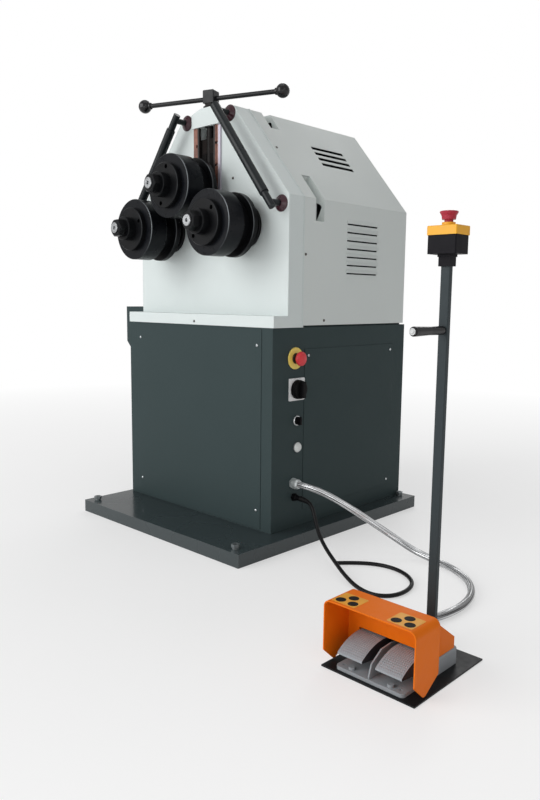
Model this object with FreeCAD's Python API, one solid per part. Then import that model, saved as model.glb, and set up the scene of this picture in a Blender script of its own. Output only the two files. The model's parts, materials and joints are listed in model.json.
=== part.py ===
import FreeCAD, Part
import math
import os

# Ring roller: a three-roll bender on a floor cabinet, with a foot-switch pedestal beside it.
# Millimetres, +Z up, floor at z = 0.  The origin is the centre of the four floor anchors.
# -Y is the operator's side, where the three roll shafts stick out of the front plate.

V = FreeCAD.Vector

# ---- Driving sizes ---------------------------------------------------------------------------

fit = 0.05            # radial running clearance of a shaft in its bore
air = 0.3             # clearance between parts that move past each other
seat = 0.1            # clearance of a part set into a pocket of the same body
past = 1.0            # cutting tools and lapped joints reach this far past a face

# Cabinet
cabinet_w = 642.0
cabinet_d = 615.0
cabinet_top_z = 600.0
cabinet_t = 3.0
bed_t = 5.0
bed_inset = 6.0
panel_t = 1.5
panel_gap = 5.0           # front panel's distance from the cabinet's top and bottom edges
front_panel_side = 41.0   # front panel's distance from the cabinet's side edges
side_panel_front = 128.0
side_panel_back = 61.0
side_panel_low = 45.5
side_panel_top = 60.0
panel_lap = 16.0          # how far a panel laps over the edge of its opening
panel_screw_r = 4.0
panel_screw_h = 2.2
front_screw_in = 17.0     # front panel's screws, in from its sides, and from its ends
front_screw_up = 51.5
front_screw_down = 43.0
side_screw_in = 16.0      # side panel's screws, in from its sides and ends
side_screw_end = 18.0

# Floor base, with its edges measured from the cabinet
base_left = 13.0
base_right = 55.0
base_front = 175.0
base_back = 14.0
base_h = 36.5
base_t = 5.0
anchor_left = 29.0        # anchor holes, measured in from the base's edges
anchor_right = 41.0
anchor_front = 29.0
anchor_back = 29.0
anchor_hole_r = 5.5
jack_r = 9.0
jack_head_af = 20.0
jack_head_h = 8.0
jack_stand = 4.0          # free thread under each jack screw's head
jack_boss_wall = 9.0
base_rib_w = 6.0
spanner_share = 0.75      # notch round a jack's head, as a share of its width across flats
spanner_above = 12.0

# Tool tray on the left wall
tray_w = 97.0
tray_len = 300.0
tray_drop = 97.0          # below the cabinet's top
tray_rise = 47.0          # above the cabinet's top
tray_chamfer = 28.0
tray_t = 2.0
tray_lip = 4.0            # the step over the cabinet's edge, below the cabinet's top
tray_clear = 1.0          # gap to the roll frame

# Roll frame, with its heights measured from the cabinet's top
ledge_d = 55.0            # the front plate stands this far behind the cabinet's front
frame_over = 3.0          # the frame's skin overhangs the cabinet by this much
shoulder_up = 350.0
ridge_half_w = 110.0
skin_t = 2.0
plate_t = 25.0
rear_plate_t = 20.0
plate_gap = 200.0         # clear distance between the two frame plates
tie_r = 16.0
apron_h = 31.5
casing_d = 60.0
seam_bead = 1.6           # raised bead round the casing's rear edge
casing_notch_clear = 1.0  # casing's notch, wider than the slot on each side
casing_notch_down = 10.0  # and below the cap
apron_screw_up = 10.0
plate_screw_out = 48.0    # front plate's screws, beside the rails and above the shoulder
plate_screw_up = 63.0
casing_screw_back = 8.0   # casing's screws, behind the seam and below the shoulder
casing_screw_down = 152.0
hood_screw_back = 90.0    # hood's lower screws, behind the seam and above the cabinet
hood_screw_up = 18.0
slope_screw_back = 14.0   # hood's upper screws, behind the seam and along the slope
slope_screw_share = 0.44
rear_plate_over = 60.0    # rear plate, above the carriage at its highest
rear_plate_side = 25.0    # and outside the bearing flanges
rear_plate_crest = 50.0   # its flat top, beside the slot
rear_slot_clear = 5.0
tie_low_up = 70.0         # lower tie bars, above the bed
tie_high_down = 110.0     # upper tie bars, below the lower shafts
hood_inset = 14.0         # the hood's back is this far in front of the cabinet's
slot_wall = 11.0          # carriage metal beside the shaft bore
slot_under = 13.6         # the slot's end, below the carriage at its lowest
cap_clear = 3.4           # the cap's underside, above the carriage at its highest
cap_h = 51.0
cap_over = 10.0           # the cap's top, above the frame's ridge
cap_half_w = 59.0
cap_crown = 12.0
cap_proud = 12.0
cap_counterbore = 14.0
cap_counterbore_wall = 7.0
rail_w = 26.5
rail_clear = 6.5          # the rails' inner edges stand this far outside the shaft
rail_t = 7.0
rail_hole_pitch = 62.0
rail_hole_top = 50.0      # first hole, below the cap
rail_hole_r = 3.2
rail_hole_shift = 2.0     # holes, from the rail's middle towards the slot
rail_head_r = 5.0
rail_head_d = 5.0
rail_below = 10.0         # rails reach this far below the slot
rail_step_out = 5.0       # the rail's raised inner strip ends this far outside the slot
rail_step_d = 2.0

# Hood details
louvre_count = 7
louvre_pitch = 23.3
louvre_down = 51.0        # first louvre, below the shoulder
louvre_front = 186.0      # louvres and slots, measured from the hood's front edge
louvre_len = 149.0
louvre_proud = 6.0
louvre_h = 11.0
louvre_slit = 3.5         # open slit below each louvre's lip
louvre_lip = 2.0
louvre_back = 0.5         # the hollow's upper edge, behind the wall's face
vent_count = 4
vent_pitch = 22.5
vent_first = 111.0        # first slot, down the slope from the ridge
vent_w = 12.0
vent_shift = 2.0          # slots, behind the louvres' ends
hood_flange_w = 15.0
pocket_front = 47.0
pocket_w = 36.0
pocket_d = 30.0
pocket_low = 60.0         # shoulder pocket's ends, below and above the corner
pocket_high = 89.0
ridge_pocket_low = 62.0
ridge_pocket_high = 46.0
pocket_hole_r = 22.0

# Rolls and shafts
roll_r = 87.0
roll_pitch = 326.0
roll_gap = 22.42          # open gap between the top roll and each lower roll
lower_up = 276.0
shaft_r = 25.0
thread_r = 15.0
shaft_reach = 218.0       # distance of the shaft ends in front of the front plate
centre_hole_r = 4.5
centre_hole_d = 12.0
centre_hole_lead = 1.0
centre_hole_cone = 2.0
thread_chamfer = 1.5
shaft_step_in = 3.0       # the shaft's shoulder, inside the collar's disc
nut_af = 46.0
nut_h = 24.0
nut_from_tip = 5.0
nut_lag = 20.0            # nut's turn behind the collar's pin holes
nut_round_in = 5.0        # the nut's rounded outer edge
nut_round_h = 4.0
collar_wall = 8.5
collar_hub_h = 25.0
collar_disc_wall = 28.0
collar_disc_h = 16.0
collar_hole_in = 11.5     # pin holes, measured in from the disc's rim
collar_hole_r = 6.0
collar_hole_d = 11.0
collar_chamfer = 1.5
front_roll_w = 55.5
groove_depth = 20.0
groove_w = 34.5
flange_roll_w = 16.5
roll_boss_wall = 10.0
top_boss_wall = 3.0
roll_chamfer = 1.5
bearing_wall = 20.0
bearing_flange_w = 15.0
bearing_flange_t = 10.0
bearing_chamfer = 2.0
bearing_bolts = 4
bearing_bolt_in = 8.0     # bolt holes, in from the flange's rim
bearing_bolt_r = 3.5
bearing_air = 2.0         # gap between the front bearings and the rolls' bosses
shaft_past_gear = 5.0
top_shaft_past = 4.0      # top shaft, behind the rear plate
collar_turns = {"top": 76.0, "right": 44.0, "left": 24.0}

# Carriage and adjusting screw
screw_y_in = 11.2         # screw axis behind the front face of the front plate
screw_r = 12.0
travel_down = 42.0
travel_up = 30.0
head_below = 55.0
head_above = 148.0
screw_nut_h = 40.0
screw_nut_wall = 12.0
carriage_tube_wall = 23.0
carriage_flange_w = 26.0  # carriage flanges, wider than the slot on each side
carriage_flange_half_h = 60.0
carriage_flange_t = 20.0
nose_t = 9.0
nose_clear = 1.0          # nose, inside the rails' inner edges
screw_clear = 1.0
screw_hole_above = 16.0   # end of the screw's hole, above the shaft
screw_end_above = 21.0    # end of the screw, above the shaft at its highest
screw_chamfer = 2.0
thrust_wall = 6.0
thrust_clear = 1.0
screw_flange_wall = 10.0
screw_flange_h = 5.0
screw_hex_af = 34.0
hub_w = 36.0
hub_h = 36.0
hub_stand = 14.0
spigot_r = 10.0
spigot_proud = 1.0
hub_chamfer = 2.0
bar_r = 6.5
bar_half = 226.0
bar_up = 14.0             # cross bar, above the hub's underside
bar_turn = 19.6
knob_r = 19.5
knob_neck = 2.0           # neck towards the hub, and its wall round the bar
knob_neck_wall = 3.0
knob_bore_end = 6.0       # the bar's hole ends this far past the knob's middle
bar_past = 5.0            # the bar's end, past the knob's middle

# Gear train
gear_module = 5.0
pinion_teeth = 20
gear_w = 30.0
pressure_angle = 20.0
gear_addendum = 1.0       # in modules
gear_dedendum = 1.25
gear_rim = 20.0
gear_hub_wall = 20.0
gear_recess = 8.0
pinion_over = 2.0         # pinion, wider than the gears on each side
pinion_shaft_in = 2.0     # pinion shaft's end, behind the rear plate's front
gear_from_plate = 15.0
gear_to_box = 17.0
backlash = 0.5
pinion_shaft_r = 15.0
gearbox_half_w = 80.0
gearbox_d = 136.0
gearbox_up = 78.0
gearbox_bore = 40.0
gearbox_bore_clear = 2.0
gearbox_round = 12.0
gearbox_foot_in = 3.0
gearbox_foot_lap = 15.0
gearbox_sole_out = 8.0
gearbox_sole_h = 12.0
motor_r = 70.0
motor_len = 205.0
motor_flange_t = 14.0
motor_flange_wall = 8.0
fin_count = 16            # grooves between the motor's fins
fin_groove_w = 5.0
fin_groove_d = 5.0
fin_back = 45.0           # grooves, in from the motor's end and from the gearbox
fin_front = 30.0

# Guard bars on the front plate
guard_stand = 47.0
guard_top_x = 93.0
guard_top_down = 17.5     # upper stud, below the ridge
guard_low_in = 29.0       # lower stud, in from the frame's side
guard_low_down = 21.0     # lower stud, below the shoulder
guard_bar_r = 13.0
guard_end_r = 10.0
guard_end_len = 48.0
guard_over = 18.0
guard_stud_r = 8.0
guard_flange_r = 22.5
guard_flange_h = 11.0
guard_flange_lip = 2.5

# Controls on the right side, measured back from the cabinet's front
estop_back = 90.0
switch_back = 95.0
selector_back = 98.0
lamp_back = 101.0
conduit_back = 86.0
lead_back = 91.0
estop_down = 84.0         # controls, below the cabinet's top
switch_down = 169.5
selector_down = 257.5
lamp_down = 333.5
conduit_up = 129.5        # cord fittings, above the floor base
lead_up = 88.5
control_hole_r = 11.0
estop_ring_r = 30.0
estop_head_r = 20.0
stem_r = 8.0
press_gap = 5.0           # open gap under both stop buttons
switch_plate_w = 62.0
switch_plate_t = 4.0
switch_plate_round = 3.0
switch_plate_air = 1.0    # gap between the plate and its knob
lock_in = 5.0             # lock slot's low corner, in from the plate's
lock_up = 13.0
lock_w = 7.0
lock_h = 6.0
switch_body_d = 55.0
stem_in = 20.0            # the buttons' and knobs' stems, behind the panel's face
stem_clear = 2.0
estop_collar_h = 9.0
estop_block_d = 40.0
bezel_h = 5.0
bezel_r = 14.5
bezel_block_d = 38.0
selector_knob_r = 11.0
selector_knob_up = 10.0   # the knob's flat, above the panel
selector_lever_w = 7.0
selector_lever_h = 9.0
selector_lever_round = 2.0
lamp_h = 12.0
lamp_block_d = 30.0
conduit_spigot_wall = 2.0
conduit_spigot_len = 12.0
conduit_hex_af = 27.0
conduit_hex_h = 9.0
conduit_dome_wall = 5.0
conduit_gland_len = 25.0
conduit_locknut_h = 5.0
lead_spigot_wall = 3.5
lead_spigot_len = 10.0
lead_hex_af = 20.0
lead_hex_h = 6.0
lead_relief_wall = 1.1
lead_gland_len = 26.0
lead_locknut_h = 4.0
switch_knob_r = 26.5
switch_knob_h = 16.0
switch_grip_w = 14.0
switch_grip_h = 12.0
switch_grip_in = 4.0      # the grip's ends, in from the knob's rim
switch_grip_round = 3.0

# Control gear on its plate inside the cabinet, with heights measured down from the plate's top
gear_plate_back = 120.0   # behind the cabinet's front, and below its top
gear_plate_down = 80.0
gear_plate_w = 300.0
gear_plate_h = 340.0
gear_plate_t = 3.0
gear_plate_margin = 30.0
contactor_count = 3
contactor_pitch = 55.0
contactor_down = 120.0
contactor_w = 45.0
contactor_h = 75.0
contactor_d = 75.0
drive_in = 210.0
drive_down = 135.0
drive_w = 65.0
drive_h = 95.0
drive_d = 90.0
terminal_down = 300.0
terminal_h = 42.0
terminal_d = 40.0

# Cords
conduit_r = 9.0
lead_r = 5.0

# Foot-switch pedestal
ped_x = 927.0
ped_w = 203.0
ped_d = 234.0
ped_front_y = -629.0
ped_t = 3.0
column_w = 19.0
column_d = 11.0
column_t = 1.5
column_round = 1.5
weld_h = 3.0
column_in = 215.0         # column axis, behind the floor plate's front edge
column_top_z = 757.0
grip_z = 622.0
grip_r = 9.0
grip_len = 101.0
box_w = 59.0
box_d = 46.0
box_h = 34.0
box_t = 3.0
sleeve_len = 22.0
sleeve_wall_x = 3.0
sleeve_wall_y = 4.5
sleeve_collar = 1.5
sleeve_collar_h = 5.0
box_over = 4.0            # the box's underside, above the column's end
box_round = 2.5
lid_h = 17.0
lid_over = 1.3
neck_h = 6.0
neck_r = 12.3
lid_round = 2.0
foot_half_w = 74.0
foot_in = 7.0             # foot-switch casting, behind the floor plate's front edge
foot_len = 176.0
foot_base_h = 7.0
foot_house_d = 74.0
foot_house_h = 34.0
foot_ear = 3.5
foot_ear_front = 11.0     # pivot ears, in front of the pivot axis and above it
foot_ear_over = 9.0
foot_corner_r = 8.0
foot_house_r = 5.0
foot_rib_w = 3.0
foot_stop_r = 6.0         # rubber stops under the pedals
foot_stop_h = 5.0
foot_stop_in = 8.0
foot_hole_r = 3.0
foot_hole_in = 12.0
pedal_w = 55.0
pedal_pitch = 84.5
pedal_len = 89.0
pedal_back = 12.0         # pivot axis in front of the housing
pedal_axis_up = 25.0
pedal_rise = 9.0          # a tread's front edge, crown and heel, above its pivot axis
pedal_crown = 29.5
pedal_heel = 27.0
pedal_wall = 3.0
pedal_t = 4.0
pedal_crown_share = 0.6   # the crown's place along the tread
pedal_wall_low = 6.0      # the side walls' heel, below the pivot axis
pedal_pin_r = 4.0
pedal_tube_r = 9.0
guard_half_w = 99.3
guard_in = 1.0
guard_depth = 76.0
guard_roof_z = 132.0
guard_leg_z = 33.0
guard_tip_z = 6.5
guard_cover_d = 97.0
guard_back_z = 59.0
guard_mouth_z = 62.5
guard_sheet = 2.5
guard_bend = 14.0
guard_tip_back = 9.0      # the legs' tips, in front of their middle
guard_tip_w = 6.0
guard_cover_in = 0.5      # rear cover, inside the casting's sides

# ---- Sizes that follow -----------------------------------------------------------------------

# The origin is the middle of the anchors, so the base's edges are measured out from them.
anchor_pitch_x = base_left + cabinet_w + base_right - anchor_left - anchor_right
anchor_pitch_y = base_front + cabinet_d + base_back - anchor_front - anchor_back
base_x0 = -anchor_pitch_x / 2 - anchor_left
base_x1 = anchor_pitch_x / 2 + anchor_right
base_y0 = -anchor_pitch_y / 2 - anchor_front
base_y1 = anchor_pitch_y / 2 + anchor_back
left_face_x = base_x0 + base_left
right_face_x = left_face_x + cabinet_w
machine_x = (left_face_x + right_face_x) / 2
cabinet_front_y = base_y0 + base_front
cabinet_back_y = cabinet_front_y + cabinet_d
bed_z = cabinet_top_z + bed_t

frame_half_w = cabinet_w / 2 + frame_over
half_pitch = roll_pitch / 2
lower_z = cabinet_top_z + lower_up
top_z = lower_z + math.sqrt((2 * roll_r + roll_gap) ** 2 - half_pitch ** 2)
carriage_low = top_z - head_below - travel_down
carriage_high = top_z + head_above + travel_up
cap_bottom_z = carriage_high + cap_clear
cap_top_z = cap_bottom_z + cap_h
shoulder_z = cabinet_top_z + shoulder_up
ridge_z = cap_top_z - cap_over
slope_len = math.hypot(frame_half_w - ridge_half_w, ridge_z - shoulder_z)
slope_dir = ((frame_half_w - ridge_half_w) / slope_len, -(ridge_z - shoulder_z) / slope_len)
slope_tilt = math.atan2(frame_half_w - ridge_half_w, ridge_z - shoulder_z)
plate_y = cabinet_front_y + ledge_d
plate_back_y = plate_y + plate_t
rear_y = plate_back_y + plate_gap
rear_back_y = rear_y + rear_plate_t
seam_y = plate_y + casing_d
hood_back_y = cabinet_back_y - hood_inset

lower_x = {"right": machine_x + half_pitch, "left": machine_x - half_pitch}
shaft_tip_y = plate_y - shaft_reach
nut_y = shaft_tip_y + nut_from_tip
collar_y = nut_y + nut_h
disc_y = collar_y + collar_hub_h
shaft_step_y = disc_y - shaft_step_in
front_roll_y = disc_y + collar_disc_h
groove_y = front_roll_y + front_roll_w
flange_roll_y = groove_y + groove_w
boss_y = flange_roll_y + flange_roll_w
collar_hub_r = shaft_r + collar_wall
collar_disc_r = collar_hub_r + collar_disc_wall
bearing_outer_r = shaft_r + bearing_wall
bearing_flange_r = bearing_outer_r + bearing_flange_w
bearing_face_y = plate_y - bearing_flange_t - bearing_air

slot_half_w = shaft_r + slot_wall
slot_bottom_z = carriage_low - slot_under
rail_inner_x = shaft_r + rail_clear
rail_outer_x = rail_inner_x + rail_w
screw_y = plate_y + screw_y_in
hub_bottom_z = cap_top_z + hub_stand
bar_z = hub_bottom_z + bar_up

gear_teeth = math.ceil(roll_pitch * 1.04 / gear_module - pinion_teeth)
gear_centres = gear_module * (gear_teeth + pinion_teeth) / 2
pinion_z = lower_z - math.sqrt(gear_centres ** 2 - half_pitch ** 2)
gear_y = rear_back_y + gear_from_plate
gearbox_y = gear_y + gear_w + gear_to_box

louvre_y = (seam_y + louvre_front, seam_y + louvre_front + louvre_len)
pocket_y = (seam_y + pocket_front, seam_y + pocket_front + pocket_w)


def on_side(back, z):
    """A place on the cabinet's right face: (y, z)."""
    return cabinet_front_y + back, z


estop_yz = on_side(estop_back, cabinet_top_z - estop_down)
switch_yz = on_side(switch_back, cabinet_top_z - switch_down)
selector_yz = on_side(selector_back, cabinet_top_z - selector_down)
lamp_yz = on_side(lamp_back, cabinet_top_z - lamp_down)
conduit_yz = on_side(conduit_back, base_h + conduit_up)
lead_yz = on_side(lead_back, base_h + lead_up)
conduit_hole_r = conduit_r + conduit_spigot_wall
lead_hole_r = lead_r + lead_spigot_wall
barrel_r = control_hole_r - seat

column_y = ped_front_y + column_in
box_z = column_top_z + box_over
lid_z = box_z + box_h
foot_front_y = ped_front_y + foot_in
foot_back_y = foot_front_y + foot_len
foot_house_y = foot_back_y - foot_house_d
foot_top_z = ped_t + foot_base_h
foot_sill_z = ped_t + foot_house_h
pedal_axis_y = foot_house_y - pedal_back
pedal_axis_z = ped_t + pedal_axis_up
pedal_front_y = pedal_axis_y - pedal_len
guard_front_y = ped_front_y + guard_in
guard_wall_y = guard_front_y + guard_depth
guard_back_y = guard_wall_y + guard_cover_d


# ---- Small tools -----------------------------------------------------------------------------

def block(x0, y0, z0, x1, y1, z1):
    """A box from its lowest corner to its highest."""
    return Part.makeBox(x1 - x0, y1 - y0, z1 - z0, V(x0, y0, z0))


def rod(radius, start, end):
    """A cylinder between two points."""
    run = V(*end) - V(*start)
    return Part.makeCylinder(radius, run.Length, V(*start), run)


def face(points):
    """A flat face round a closed outline."""
    return Part.Face(Part.makePolygon(points + [points[0]]))


def prism_x(outline, x0, x1):
    """Extrude a (y, z) outline along X."""
    return face([V(x0, y, z) for y, z in outline]).extrude(V(x1 - x0, 0, 0))


def prism_y(outline, y0, y1):
    """Extrude an (x, z) outline along Y."""
    return face([V(x, y0, z) for x, z in outline]).extrude(V(0, y1 - y0, 0))


def prism_z(outline, z0, z1):
    """Extrude an (x, y) outline along Z."""
    return face([V(x, y, z0) for x, y in outline]).extrude(V(0, 0, z1 - z0))


def turned(profile, axis, place):
    """Revolve an (r, t) profile about the axis letter, t running along it, then place it."""
    if axis == "z":
        solid = face([V(r, 0, t) for r, t in profile]).revolve(V(0, 0, 0), V(0, 0, 1), 360)
    elif axis == "y":
        solid = face([V(r, t, 0) for r, t in profile]).revolve(V(0, 0, 0), V(0, 1, 0), 360)
    else:
        solid = face([V(t, r, 0) for r, t in profile]).revolve(V(0, 0, 0), V(1, 0, 0), 360)
    solid.translate(V(*place))
    return solid


def hexagon(across_flats, turn=0.0):
    """Corner points of a hexagon round (0, 0)."""
    corner = across_flats / math.sqrt(3)
    return [(corner * math.cos(math.radians(turn + 60 * i)),
             corner * math.sin(math.radians(turn + 60 * i))) for i in range(6)]


def shifted(outline, du, dv):
    """Move a flat outline."""
    return [(u + du, v + dv) for u, v in outline]


def mirrored_x(shape):
    """A copy mirrored in the machine's centre plane."""
    return shape.mirror(V(machine_x, 0, 0), V(1, 0, 0))


def fuse(shapes):
    """Fuse a list of touching solids into one."""
    whole = shapes[0]
    for shape in shapes[1:]:
        whole = whole.fuse(shape)
    return whole.removeSplitter()


def frame_outline(inset, bottom_z):
    """The six-sided outline of frame plates and hood, offset inwards, open height from bottom_z."""
    shoulder = shoulder_z - inset * math.tan(slope_tilt / 2)
    ridge = ridge_half_w - inset * math.tan((math.pi / 2 - slope_tilt) / 2)
    wide = frame_half_w - inset
    half = [(wide, bottom_z), (wide, shoulder), (ridge, ridge_z - inset)]
    return ([(machine_x + x, z) for x, z in half]
            + [(machine_x - x, z) for x, z in reversed(half)])


def on_slope(along, depth=0.0):
    """A point on the right slope: distance from the ridge, and depth below the skin."""
    x = machine_x + ridge_half_w + slope_dir[0] * along + slope_dir[1] * depth
    z = ridge_z + slope_dir[1] * along - slope_dir[0] * depth
    return x, z


parts = {}


# ---- Floor base ------------------------------------------------------------------------------

def anchor_points():
    """The four anchor places."""
    return [(sx * anchor_pitch_x / 2, sy * anchor_pitch_y / 2) for sx in (-1, 1) for sy in (-1, 1)]


def make_base():
    """Folded floor tray, open below, with a threaded boss at each anchor."""
    tray = block(base_x0, base_y0, 0, base_x1, base_y1, base_h)
    tray = tray.cut(block(base_x0 + base_t, base_y0 + base_t, -1,
                          base_x1 - base_t, base_y1 - base_t, base_h - base_t))
    bosses = [rod(jack_r + jack_boss_wall, (x, y, 0), (x, y, base_h - past)) for x, y in anchor_points()]
    # two channels under the cabinet's side walls stiffen the top sheet
    ribs = [block(x - base_rib_w / 2, base_y0 + past, 0, x + base_rib_w / 2, base_y1 - past, base_h - past)
            for x in (machine_x - cabinet_w / 3, machine_x + cabinet_w / 3)]
    tray = fuse([tray] + bosses + ribs)
    for x, y in anchor_points():
        tray = tray.cut(rod(jack_r + seat, (x, y, -1), (x, y, base_h + past)))
    return tray


def make_jack(x, y):
    """A levelling screw with the anchor hole down its middle."""
    head_z = base_h + jack_stand
    screw = rod(jack_r, (x, y, 0), (x, y, head_z + past))
    head = prism_z(shifted(hexagon(jack_head_af), x, y), head_z, head_z + jack_head_h)
    return fuse([screw, head]).cut(rod(anchor_hole_r, (x, y, -1), (x, y, head_z + jack_head_h + past)))


# ---- Cabinet ---------------------------------------------------------------------------------

def make_cabinet():
    """Welded cabinet with the machine bed on top, open behind the front and side panels."""
    y0 = cabinet_front_y
    y1 = cabinet_back_y
    shell = block(left_face_x, y0, base_h, right_face_x, y1, cabinet_top_z)
    t = cabinet_t
    shell = shell.cut(block(left_face_x + t, y0 + t, base_h + t,
                            right_face_x - t, y1 - t, cabinet_top_z - t))
    bed = block(left_face_x + bed_inset, y0 + ledge_d, cabinet_top_z - past,
                right_face_x - bed_inset, hood_back_y - bed_inset, bed_z)
    shell = fuse([shell, bed])
    lap = panel_lap
    x0, z0, x1, z1 = front_panel_edges()
    shell = shell.cut(block(x0 + lap, y0 - past, z0 + lap, x1 - lap, y0 + t + past, z1 - lap))
    sy0, sz0, sy1, sz1 = side_panel_edges()
    shell = shell.cut(block(right_face_x - t - past, sy0 + lap, sz0 + lap,
                            right_face_x + past, sy1 - lap, sz1 - lap))
    # a jack screw that stands under the cabinet gets a notch that a spanner reaches
    for x, y in anchor_points():
        shell = shell.cut(rod(jack_head_af * spanner_share, (x, y, base_h - past),
                              (x, y, base_h + jack_stand + jack_head_h + spanner_above)))
    for y, z, r in control_holes():
        shell = shell.cut(rod(r, (right_face_x - t - past, y, z), (right_face_x + past, y, z)))
    return shell


def front_panel_edges():
    """The front panel's lowest and highest corner: x, z, x, z."""
    return (left_face_x + front_panel_side, base_h + panel_gap,
            right_face_x - front_panel_side, cabinet_top_z - panel_gap)


def side_panel_edges():
    """The side panel's lowest and highest corner: y, z, y, z."""
    return (cabinet_front_y + side_panel_front, base_h + side_panel_low,
            cabinet_back_y - side_panel_back, cabinet_top_z - side_panel_top)


def control_holes():
    """Panel holes behind the controls: (y, z, radius)."""
    switches = [(*place, control_hole_r) for place in (estop_yz, switch_yz, selector_yz, lamp_yz)]
    return switches + [(*conduit_yz, conduit_hole_r), (*lead_yz, lead_hole_r)]


def make_panels():
    """Front and right-hand access panels, screwed on outside the shell."""
    x0, z0, x1, z1 = front_panel_edges()
    front = block(x0, cabinet_front_y - panel_t, z0, x1, cabinet_front_y, z1)
    y0, z0, y1, z1 = side_panel_edges()
    side = block(right_face_x, y0, z0, right_face_x + panel_t, y1, z1)
    return front, side


def button_head(place, axis, radius=panel_screw_r):
    """A low round screw head with a hexagon socket, pointing along -Y or +X, or up the slope."""
    h = panel_screw_h
    head = turned([(0, 0), (radius, 0), (radius * 0.85, h * 0.6), (radius * 0.45, h), (0, h)],
                  "z", (0, 0, 0))
    socket = prism_z(hexagon(radius * 0.8), h * 0.4, h + past)
    head = head.cut(socket)
    head.rotate(V(0, 0, 0), V(0, 0, 1).cross(V(*axis)), 90 if axis[2] == 0 else
                math.degrees(math.acos(axis[2])))
    head.translate(V(*place))
    return head


def make_panel_screws():
    """All sheet-metal screws: front panel, side panel, apron, casing and hood."""
    screws = []
    x0, z0, x1, z1 = front_panel_edges()
    for x in (x0 + front_screw_in, x1 - front_screw_in):
        for z in (z0 + front_screw_up, z1 - front_screw_down):
            screws.append(button_head((x, cabinet_front_y - panel_t, z), (0, -1, 0)))
    y0, z0, y1, z1 = side_panel_edges()
    for y in (y0 + side_screw_in, y1 - side_screw_in):
        for z in (z0 + side_screw_end, z1 - side_screw_end):
            screws.append(button_head((right_face_x + panel_t, y, z), (1, 0, 0)))
    screws.append(button_head((machine_x, cabinet_front_y, cabinet_top_z + apron_screw_up), (0, -1, 0)))
    for side in (-1, 1):
        x = machine_x + side * (rail_outer_x + plate_screw_out)
        screws.append(button_head((x, plate_y, shoulder_z + plate_screw_up), (0, -1, 0)))
        x = machine_x + side * frame_half_w
        for y, z in ((seam_y + casing_screw_back, shoulder_z - casing_screw_down),
                     (seam_y + hood_screw_back, cabinet_top_z + hood_screw_up)):
            screws.append(button_head((x, y, z), (side, 0, 0)))
        x, z = on_slope(slope_len * slope_screw_share)
        screws.append(button_head((machine_x + side * (x - machine_x), seam_y + slope_screw_back, z),
                                  (side * -slope_dir[1], 0, slope_dir[0])))
    return screws


def make_tray():
    """Open-topped tool tray folded from sheet, on the left wall."""
    z0 = cabinet_top_z - tray_drop
    z1 = cabinet_top_z + tray_rise
    wall = left_face_x
    out = wall - tray_w
    clear = machine_x - frame_half_w - tray_clear
    step = cabinet_top_z - tray_lip
    y0 = plate_y
    y1 = y0 + tray_len
    outer = [(wall, step), (wall, z0), (out + tray_chamfer, z0),
             (out, z0 + tray_chamfer), (out, z1), (clear, z1), (clear, step)]
    t = tray_t
    k = t * math.tan(math.radians(22.5))
    inner = [(wall - t, z1 + past), (wall - t, z0 + t), (out + tray_chamfer + k, z0 + t),
             (out + t, z0 + tray_chamfer + k), (out + t, z1 + past)]
    return prism_y(outer, y0, y1).cut(prism_y(inner, y0 + t, y1 - t))


# ---- Roll frame ------------------------------------------------------------------------------

def make_casing():
    """Front casing: a skin round the front plate, with the apron and ledge below it."""
    outer = prism_y(frame_outline(0, cabinet_top_z), plate_y, seam_y)
    ring = outer.cut(prism_y(frame_outline(skin_t, cabinet_top_z - past), plate_y - past, seam_y + past))
    x0 = machine_x - frame_half_w
    x1 = machine_x + frame_half_w
    top = cabinet_top_z + apron_h
    apron = block(x0, cabinet_front_y, cabinet_top_z, x1, plate_y, top)
    apron = apron.cut(block(x0 + skin_t, cabinet_front_y + skin_t, cabinet_top_z - past,
                            x1 - skin_t, plate_y + past, top - skin_t))
    beads = []
    for rise, lead in ((seam_bead / 2, 2.5 * seam_bead), (seam_bead, 1.5 * seam_bead)):
        band = prism_y(frame_outline(-rise, cabinet_top_z), seam_y - lead, seam_y)
        beads.append(band.cut(prism_y(frame_outline(skin_t / 2, cabinet_top_z - past), seam_y - lead - past,
                                      seam_y + past)))
    casing = fuse([ring, apron] + beads)
    gap = slot_half_w + casing_notch_clear
    casing = casing.cut(block(machine_x - gap, plate_y - past, cap_bottom_z - casing_notch_down,
                              machine_x + gap, plate_back_y + past, ridge_z + past))
    return casing


def slot_block(y0, y1, bottom, top):
    """The vertical slot that the carriage runs in."""
    return block(machine_x - slot_half_w, y0, bottom, machine_x + slot_half_w, y1, top)


def make_front_plate():
    """Thick front plate with the carriage slot and two bearing bores."""
    plate = prism_y(frame_outline(skin_t + seat, bed_z), plate_y, plate_back_y)
    plate = plate.cut(slot_block(plate_y - past, plate_back_y + past, slot_bottom_z, ridge_z + past))
    for x in lower_x.values():
        plate = plate.cut(rod(bearing_outer_r + seat, (x, plate_y - past, lower_z),
                              (x, plate_back_y + past, lower_z)))
    return plate


def make_rear_plate():
    """Second frame plate, with the rear bearings, the carriage slot and the pinion bore."""
    top = top_z + head_below + travel_up + rear_plate_over
    half = half_pitch + bearing_flange_r + rear_plate_side
    crest = slot_half_w + rear_plate_crest
    outline = [(machine_x + half, bed_z), (machine_x + half, shoulder_z), (machine_x + crest, top),
               (machine_x - crest, top), (machine_x - half, shoulder_z), (machine_x - half, bed_z)]
    plate = prism_y(outline, rear_y, rear_back_y)
    low = top_z - head_below - travel_down - rear_slot_clear
    high = top_z + head_below + travel_up + rear_slot_clear
    plate = plate.cut(slot_block(rear_y - past, rear_back_y + past, low, high))
    for x in lower_x.values():
        plate = plate.cut(rod(bearing_outer_r + seat, (x, rear_y - past, lower_z),
                              (x, rear_back_y + past, lower_z)))
    return plate.cut(rod(pinion_shaft_r + fit, (machine_x, rear_y - past, pinion_z),
                         (machine_x, rear_back_y + past, pinion_z)))


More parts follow.
